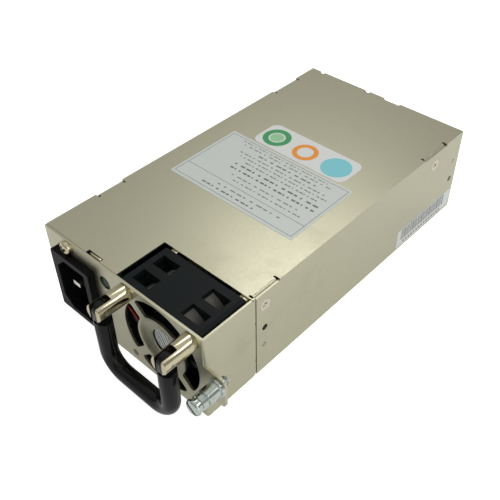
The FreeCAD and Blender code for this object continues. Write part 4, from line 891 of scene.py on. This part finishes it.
    def bay_clips(self) -> None:
        """Two bright folded tabs behind the fan, at the cover's cut edge."""
        fan, top = span_of("fan_frame")[1], span_of("top_cover")[1].z
        bm = bmesh.new()
        for start, end in ((2.9, 5.7), (fan.x - 3.6, fan.x - 0.2)):
            add_block(bm, (start, fan.y + 0.15, top - 1.7), (end, fan.y + 1.22, top - 0.75), 0.12)
        finish_piece(bm, "bay_clips", POST_NICKEL)


# ---- labels

@dataclass
class Labels:
    """Bare rating label, ring sticker and bar label, with plain printed marks only."""

    film: float = 0.07
    ink: float = 0.018
    line_w: float = 0.16
    rating: Area = (9.5, 54.0, 73.0, 91.5)
    frame: Area = (10.7, 55.5, 71.8, 90.0)
    divide_y: float = 63.0
    sticker: Area = (19.0, 92.0, 66.5, 108.0)
    low_label: Area = (114.0, 1.0, 156.0, 10.6)

    def build(self) -> None:
        """Make the three labels."""
        low, high = span_of("top_cover")
        self.left, self.top = low.x, high.z
        self.front = front_of("front_panel").y
        self.rating_label()
        self.ring_sticker()
        self.bar_label()

    def spot(self, x: float, y: float, up: float = 0.0) -> Place:
        """A place on the cover, measured from the case's front left corner.

        Args:
            x: distance from the left wall.
            y: distance from the front face.
            up: height over the cover.
        Returns:
            The place in the part's frame.
        """
        return (self.left + x, self.front + y, self.top + up)

    def bar(self, bm: Draft, *area: float) -> None:
        """One printed bar on a label that lies on the cover.

        Args:
            bm: the print's mesh.
            *area: its left, front, right and rear.
        """
        add_block(bm, self.spot(*area[:2], self.film), self.spot(*area[2:], self.film + self.ink))

    def rating_label(self) -> None:
        """Pale label with a thin frame, a dividing line and rows of plain dashes."""
        bm, area = bmesh.new(), self.rating
        rounded_plate(bm, self.spot(*area[:2]), self.spot(*area[2:], self.film), 0.8, Axis.Z)
        finish_piece(bm, "rating_label", LABEL_SILVER)
        lines, thin = bmesh.new(), self.line_w
        left, front, right, rear = self.frame
        for y in (front, self.divide_y, rear):
            self.bar(lines, left, y, right, y + thin)
        for x in (left, right - thin):
            self.bar(lines, x, front, x + thin, rear + thin)
        finish_piece(lines, "rating_label_frame", INK_DARK)
        dashes = bmesh.new()
        rows = ((57.4, 0.75, 24.0, 52.0, 2.6), (60.2, 0.55, 30.0, 62.0, 3.4), (65.6, 0.5, 33.0, 68.0, 2.2),
                (68.2, 0.5, 30.0, 64.0, 3.0), (71.4, 0.9, 26.0, 69.0, 2.3), (74.3, 0.9, 26.0, 69.0, 3.1),
                (77.2, 0.55, 29.0, 66.0, 1.9), (79.6, 0.5, 24.0, 69.0, 2.0), (81.8, 0.5, 22.0, 67.0, 2.4),
                (84.1, 0.7, 30.0, 60.0, 3.2), (86.6, 0.45, 20.0, 66.0, 2.7), (88.4, 0.4, 18.0, 64.0, 2.1))
        for y, thick, x, end, pitch in rows:
            turn = 0
            while x < end:
                wide = pitch * (0.55 + 0.28 * math.sin(turn * 1.7 + y))
                self.bar(dashes, x, y, min(x + wide, end), y + thick)
                x += pitch
                turn += 1
        finish_piece(dashes, "rating_label_dashes", INK_GREY)

    def ring_sticker(self) -> None:
        """White sticker with a green ring, an orange ring and a light blue disc."""
        bm, area = bmesh.new(), self.sticker
        rounded_plate(bm, self.spot(*area[:2]), self.spot(*area[2:], self.film), 3.6, Axis.Z)
        finish_piece(bm, "ring_sticker", LABEL_WHITE)
        prints = (("green_ring", 26.6, 99.8, 6.2, 3.7, INK_GREEN),
                  ("green_middle", 26.6, 99.8, 3.0, 0.0, INK_PALE_GREEN),
                  ("orange_ring", 42.4, 99.4, 5.6, 3.5, INK_ORANGE),
                  ("blue_disc", 58.4, 99.5, 6.5, 0.0, INK_BLUE))
        for name, x, y, radius, hole, coat in prints:
            disc = bmesh.new()
            add_disc(disc, self.spot(x, y, self.film), radius, self.ink, Axis.Z, hole)
            finish_piece(disc, name, coat)

    def bar_label(self) -> None:
        """White label low on the right wall with plain upright bars and dashes."""
        wall = span_of("base_tray")[1].x
        y0, z0, y1, z1 = self.low_label
        film, ink = wall + self.film, wall + self.film + self.ink
        bm = bmesh.new()
        rounded_plate(bm, (wall, self.front + y0, z0), (film, self.front + y1, z1), 0.6, Axis.X)
        finish_piece(bm, "bar_label", LABEL_WHITE)
        bars = bmesh.new()
        y, turn = self.front + 117.0, 0
        while y < self.front + 150.5:
            wide = (0.22, 0.45, 0.3, 0.7, 0.22, 0.5)[(turn * 5 + turn // 3) % 6]
            add_block(bars, (film, y, 4.3), (ink, y + wide, 10.2))
            y += wide + (0.35, 0.25, 0.5)[(turn * 2 + turn // 4) % 3]
            turn += 1
        for i in range(15):
            at = self.front + 119.0 + i * 2.05
            add_block(bars, (film, at, 2.0), (ink, at + 1.1, 3.1))
        finish_piece(bars, "bar_label_print", INK_GREY)


# ---- fan

@dataclass
class Fan:
    """Fan frame, rotor, bare motor label and the motor's two wires."""

    plate_in: float = 1.4
    label_rad: float = 5.9
    label_turn: float = math.radians(64.0)
    wire_rad: float = 0.36
    pocket_x: tuple[float, float] = (7.95, 13.7)
    pocket_y: float = 2.9
    pocket_long: float = 5.4
    pocket_pitch: float = 9.2
    skin_rad: float = 19.7
    skin_steps: int = 10

    def build(self) -> None:
        """Make the fan's visible pieces."""
        Coated("fan_frame", FAN_BLACK, "fan_black", 0.3, 3).build()
        Coated("fan_rotor", FAN_BLACK, "fan_black", 0.12).build()
        keep(MAGNET, "fan_magnet")
        keep(LAMINATION, "fan_stator")
        keep(BOARD_GREEN, "fan_board")
        keep(PIN_STEEL, "fan_shaft", "fan_bearings")
        keep(PEG_STEEL_AND_RECESS_SHADE, "fan_pegs")
        self.motor_label()
        self.painted_pocket_sheen()
        self.wires()

    def plate_front(self) -> Vector:
        """The middle of the motor plate's front face."""
        return front_of("fan_frame") + Vector((0, self.plate_in, 0))

    def motor_label(self) -> None:
        """Silver disc with plain raised rows, seen through the guard's ring."""
        at = self.plate_front()
        bm = bmesh.new()
        add_disc(bm, at, self.label_rad, 0.08, Axis.BACK_Y)
        finish_piece(bm, "fan_motor_label", FAN_LABEL)
        rows = bmesh.new()
        for i in range(-5, 6):
            across = i * 1.5
            half = math.sqrt(max(self.label_rad ** 2 - across ** 2, 0.2)) * 0.86
            thick = 0.26 if i % 3 else 0.14
            add_block(rows, (at.x - half, at.y - 0.1, at.z + across - thick),
                      (at.x + half, at.y - 0.08, at.z + across + thick))
        bmesh.ops.rotate(rows, cent=at, matrix=Matrix.Rotation(self.label_turn, 3, "Y"), verts=rows.verts)
        finish_piece(rows, "fan_label_rows", INK_GREY)

    def painted_pocket_sheen(self) -> None:
        """Thin curved skins over the duct, in a paler grey than the fan's black: painted sheen that stands
        for light reflected from the upper pockets' floors.
        """
        x, front, z = front_of("fan_frame")
        first, last = self.pocket_x
        outer, inner = self.skin_rad + 0.05, self.skin_rad - 0.1
        bm = bmesh.new()
        for side, row in ((-1, 0), (-1, 1), (1, 0), (1, 1)):
            start = front + self.pocket_y + row * self.pocket_pitch
            end = start + self.pocket_long
            rings = []
            for step in range(self.skin_steps + 1):
                turn = math.asin((first + step * (last - first) / self.skin_steps) / self.skin_rad)
                rings.append([bm.verts.new((x + side * r * math.sin(turn), y, z + r * math.cos(turn)))
                              for r, y in ((outer, start), (outer, end), (inner, end), (inner, start))])
            for one, two in zip(rings, rings[1:]):
                for i in range(4):
                    bm.faces.new((one[i], one[(i + 1) % 4], two[(i + 1) % 4], two[i]))
            bm.faces.new(rings[0])
            bm.faces.new(rings[-1])
        finish_piece(bm, "fan_pocket_painted_sheen", FAN_POCKET_PAINTED_SHEEN)

    def wires(self) -> None:
        """Red and black wires from the motor plate along its upper left, into the frame."""
        at = self.plate_front()
        for name, coat, shift in (("fan_wire_red", WIRE_RED, 0.0), ("fan_wire_black", FAN_BLACK, 1.2)):
            bm = bmesh.new()
            start = Vector((at.x - 12.4 - shift, at.y - 0.8 + shift * 0.5, at.z + 1.7 - shift))
            end = Vector((at.x - 18.7 - shift, at.y - 0.8 + shift * 0.5, at.z + 7.0 - shift))
            run = end - start
            tube = bmesh.ops.create_cone(bm, cap_ends=True, segments=16, radius1=self.wire_rad,
                                         radius2=self.wire_rad, depth=run.length)["verts"]
            place = Matrix.Translation((start + end) / 2) @ outward(run.normalized())
            bmesh.ops.transform(bm, matrix=place, verts=tube)
            finish_piece(bm, name, coat)


# ---- bail and captive screw

@dataclass
class FrontHardware:
    """Bail, its posts and pins, the captive screw, the inlet and the lamp."""

    thread_pitch: float = 0.6
    groove_w: float = 0.34
    groove_deep: float = 0.4
    slot_turn: float = 0.7
    lens_rad: float = 2.68

    def build(self) -> None:
        """Make the pieces that stand on the front face."""
        self.posts()
        keep(PIN_STEEL, "bail_pins")
        Coated("pull_bail", BAIL_BLACK, "bail_black", 0.35, 3).build()
        Coated("captive_ferrule", ZINC_BLUE, "zinc_blue", 0.14).build()
        Coated("captive_washer", ZINC_BLUE, "zinc_blue", 0.08).build()
        self.captive_screw()
        Coated("inlet_housing", INLET_BLACK, "inlet_black", 0.22, 3).build()
        Coated("inlet_blades", BLADE_METAL, "blade_metal", 0.3, 3).build()
        self.lamp()

    def posts(self) -> None:
        """The bail's posts, each with a fine groove round its foot, where it meets the sheet."""
        face = front_of("status_lamp").y
        for node in ("bail_post_left", "bail_post_right"):
            post = Coated(node, POST_NICKEL, "post_nickel", 0.0).build()
            x, _, z = front_of(node)
            radius = span_of(node)[1].x - x
            groove = bmesh.new()
            add_disc(groove, (x, face + 0.02, z), radius + 1.0, self.groove_w, Axis.BACK_Y,
                     hole=radius - self.groove_deep)
            carve(post, groove)
            ease_edges(post, 0.14, 3)

    def captive_screw(self) -> None:
        """Slotted knob, neck and threaded tip in one turned piece."""
        x, knob, z = front_of("captive_screw")
        high = span_of("captive_screw")[1]
        length, under, r = high.y - knob, front_of("captive_washer").y - knob, high.z - z
        profile = [(0.0, 0.06), (1.6, 0.03), (2.35, 0.12), (2.8, 0.4), (r - 0.06, 0.85), (r, 1.2),
                   (r - 0.1, 1.6), (r - 0.7, 1.85), (r - 0.75, 2.9), (r - 0.35, 3.15),
                   (r - 0.3, under - 0.2), (r - 0.5, under), (1.25, under), (1.25, length - 2.2)]
        along = length - 2.2
        while along < length - 0.65:
            profile += [(1.45, along), (1.75, along + 0.24), (1.75, along + 0.32), (1.45, along + 0.56)]
            along += self.thread_pitch
        profile += [(1.4, length - 0.3), (1.2, length), (0.0, length)]
        bm = bmesh.new()
        add_turned(bm, profile, (x, knob, z), Axis.Y, 64)
        piece = finish_piece(bm, "captive_screw_turned", ZINC_BLUE, "screw")
        slot = bmesh.new()
        verts = add_block(slot, (x - 4.5, knob - 1.0, z - 0.5), (x + 4.5, knob + 1.5, z + 0.5))
        turn = Matrix.Rotation(self.slot_turn, 3, "Y")
        bmesh.ops.rotate(slot, cent=Vector((x, knob, z)), matrix=turn, verts=verts)
        carve(piece, slot)
        ease_edges(piece, 0.08)
        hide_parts("captive_screw")

    def lamp(self) -> None:
        """Dark green lens with a domed face."""
        x, front, z = front_of("status_lamp")
        r = self.lens_rad
        bm = bmesh.new()
        profile = [(0.0, 0.05), (1.2, 0.12), (2.1, 0.34), (r - 0.15, 0.62), (r, 0.9), (r, 1.0), (3.3, 1.0),
                   (3.3, 2.0), (r, 2.0), (r, 3.6), (0.0, 3.6)]
        add_turned(bm, profile, (x, front, z), Axis.Y, 48)
        piece = finish_piece(bm, "status_lamp_lens", LENS_GREEN)
        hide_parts("status_lamp")


# ---- board and what stands on it

@dataclass(frozen=True)
class Electronics:
    """Board, wires and components, most of them behind the case's walls."""

    def build(self) -> None:
        """Put the finishes on the pieces inside the case."""
        keep(BOARD_GREEN, "main_board", "lamp_board", "control_card")
        keep(GOLD_CONTACT, "contact_fingers")
        keep(FILM, "insulating_film")
        keep(BLADE_METAL, "board_standoffs", "fuse_clips")
        keep(SCREW_STEEL, "board_screws")
        keep(WIRE_BLUE, "inlet_leads")
        keep(WINDING, "filter_chokes", "boost_choke", "output_choke")
        keep(TAPE, "transformer_coil")
        keep(FERRITE, "transformer_core")
        keep(BOX_YELLOW, "filter_capacitor")
        keep(SLEEVE_DARK, "reservoir_capacitor", "output_capacitors")
        keep(CERAMIC, "mains_fuse")
        keep(EXTRUDED, "primary_heat_sink", "secondary_heat_sink")
        keep(PACKAGE, "power_transistors", "rectifier_packages", "card_chips")


# ---- stage, light and camera

@dataclass
class Studio:
    """Pale floor, soft lamps, world and camera."""

    camera_at: tuple[float, float, float] = (151.76, -173.63, 213.15)
    across: Colour = (0.73718, 0.67567, -0.00691)
    down: Colour = (0.44701, -0.49532, -0.74487)
    ahead: Colour = (-0.50671, 0.54601, -0.66717)
    lens: float = 51.835
    shift: tuple[float, float] = (-0.0067, -0.0249)
    floor_reach: float = 3000.0
    glow_seen: float = 0.78
    glow_mirrored: float = 0.22
    room_even: float = 0.10
    room_left: float = 0.10
    room_high: float = 0.62
    lamp_set: dict[str, tuple[Colour, Colour, float, float]] = field(default_factory=lambda: {
        "key_lamp": ((-0.30, 0.42, 0.72), (0.035, -0.05, 0.04), 0.22, 0.62),
        "right_fill": ((0.65, -0.25, 0.42), (0.0, 0.0, 0.02), 0.5, 0.9),
        "back_fill": ((0.47, 0.40, 0.59), (0.03, -0.06, 0.04), 0.25, 0.8),
        "low_right_fill": ((0.55, -0.10, 0.12), (0.04, -0.02, 0.02), 0.35, 0.3),
    })

    def build(self) -> None:
        """Make the whole stage."""
        self.floor()
        self.world()
        self.lamps()
        self.camera()
        bpy.context.scene.view_settings.view_transform = "Standard"

    def floor(self) -> None:
        """A wide pale floor that shows white to the camera and in reflections, with a soft shadow."""
        bm = bmesh.new()
        bmesh.ops.create_grid(bm, x_segments=1, y_segments=1, size=self.floor_reach)
        mesh = mesh_of(bm, "floor")
        floor = put("floor", mesh)
        made = bpy.data.materials.new("pale_floor")
        made.use_nodes = True
        graph = Graph(made.node_tree)
        shader = made.node_tree.nodes["Principled BSDF"]
        out = made.node_tree.nodes["Material Output"]
        grain = effect(graph, "grain", graph.place(), Size_mm=3.0, Sharpness=0.3)
        tone = graph.blend(graph.maths("MULTIPLY", grain, 0.15), (0.93, 0.93, 0.93), (0.90, 0.90, 0.90))
        graph.feed(shader, Base_Color=tone, Roughness=0.9)
        seen, mirrored = self.ray_masks(graph)
        strength = graph.maths("MAXIMUM", graph.maths("MULTIPLY", seen, self.glow_seen),
                               graph.maths("MULTIPLY", mirrored, self.glow_mirrored))
        glow = graph.feed(graph.node("ShaderNodeEmission"), Color=(1, 1, 1, 1), Strength=strength)
        both = graph.node("ShaderNodeAddShader")
        graph.give(both.inputs[0], shader.outputs[0])
        graph.give(both.inputs[1], glow.outputs[0])
        graph.feed(out, Surface=both.outputs[0])
        mesh.materials.append(made)

    def ray_masks(self, graph: Graph) -> tuple[Socket, Socket]:
        """Masks of the rays that come straight from the camera, and of those that metal or glass sends on.

        Args:
            graph: the node writer.
        Returns:
            The camera's mask and the mirrored mask.
        """
        path = graph.node("ShaderNodeLightPath")
        sent_on = graph.maths("MAXIMUM", path.outputs["Is Glossy Ray"], path.outputs["Is Transmission Ray"])
        return path.outputs["Is Camera Ray"], sent_on

    def world(self) -> None:
        """White to the camera, and a soft room, brighter to the left, for everything else."""
        world = bpy.data.worlds.new("studio_room")
        bpy.context.scene.world = world
        world.use_nodes = True
        graph = Graph(world.node_tree)
        back = world.node_tree.nodes["Background"]
        out = world.node_tree.nodes["World Output"]
        split = graph.node("ShaderNodeSeparateXYZ")
        graph.give(split.inputs[0], graph.node("ShaderNodeTexCoord").outputs["Generated"])
        left = graph.span(split.outputs["X"], 0.2, -0.8, 0.0, self.room_left)
        high = graph.span(split.outputs["Z"], 0.2, 0.9, 0.0, self.room_high)
        room = graph.maths("ADD", graph.maths("ADD", left, high), self.room_even)
        seen, mirrored = self.ray_masks(graph)
        horizon = graph.maths("MULTIPLY", graph.span(split.outputs["Z"], 0.40, 0.05, 0.0, 1.0), mirrored)
        graph.feed(back, Color=(1.0, 0.99, 0.96, 1), Strength=graph.maths("MAXIMUM", room, horizon))
        white = graph.feed(graph.node("ShaderNodeBackground"), Color=(1, 1, 1, 1), Strength=1.0)
        mix = graph.node("ShaderNodeMixShader")
        for socket, value in zip(mix.inputs, (seen, back.outputs[0], white.outputs[0])):
            graph.give(socket, value)
        graph.feed(out, Surface=mix.outputs[0])

    def lamps(self) -> None:
        """Soft square area lamps, each with its place and aim in metres, its side and its power."""
        for name, (at, aim, size, power) in self.lamp_set.items():
            data = bpy.data.lights.new(name, "AREA")
            data.shape, data.size, data.energy = "SQUARE", size, power
            made = put(name, data)
            made.location = Vector(at)
            made.rotation_euler = (Vector(aim) - Vector(at)).to_track_quat("-Z", "Y").to_euler()

    def camera(self) -> None:
        """The camera, front right and above."""
        data = bpy.data.cameras.new("camera")
        data.sensor_width, data.lens = 36.0, self.lens
        data.shift_x, data.shift_y = self.shift
        data.clip_start, data.clip_end = 0.01, 20.0
        made = put("camera", data)
        axes = Matrix((self.across, [-v for v in self.down], [-v for v in self.ahead])).transposed()
        made.matrix_world = Matrix.Translation(Vector(self.camera_at) * MM) @ axes.to_4x4()
        bpy.context.scene.camera = made


def main() -> None:
    """Build every piece in order, then the stage."""
    builders: Iterable[object] = (SheetCase(), Labels(), Fan(), FrontHardware(), Electronics(), Studio())
    for builder in builders:
        log.info("building %s", type(builder).__name__)
        builder.build()


if __name__ == "__main__":
    logging.basicConfig(level=logging.INFO)
    main()
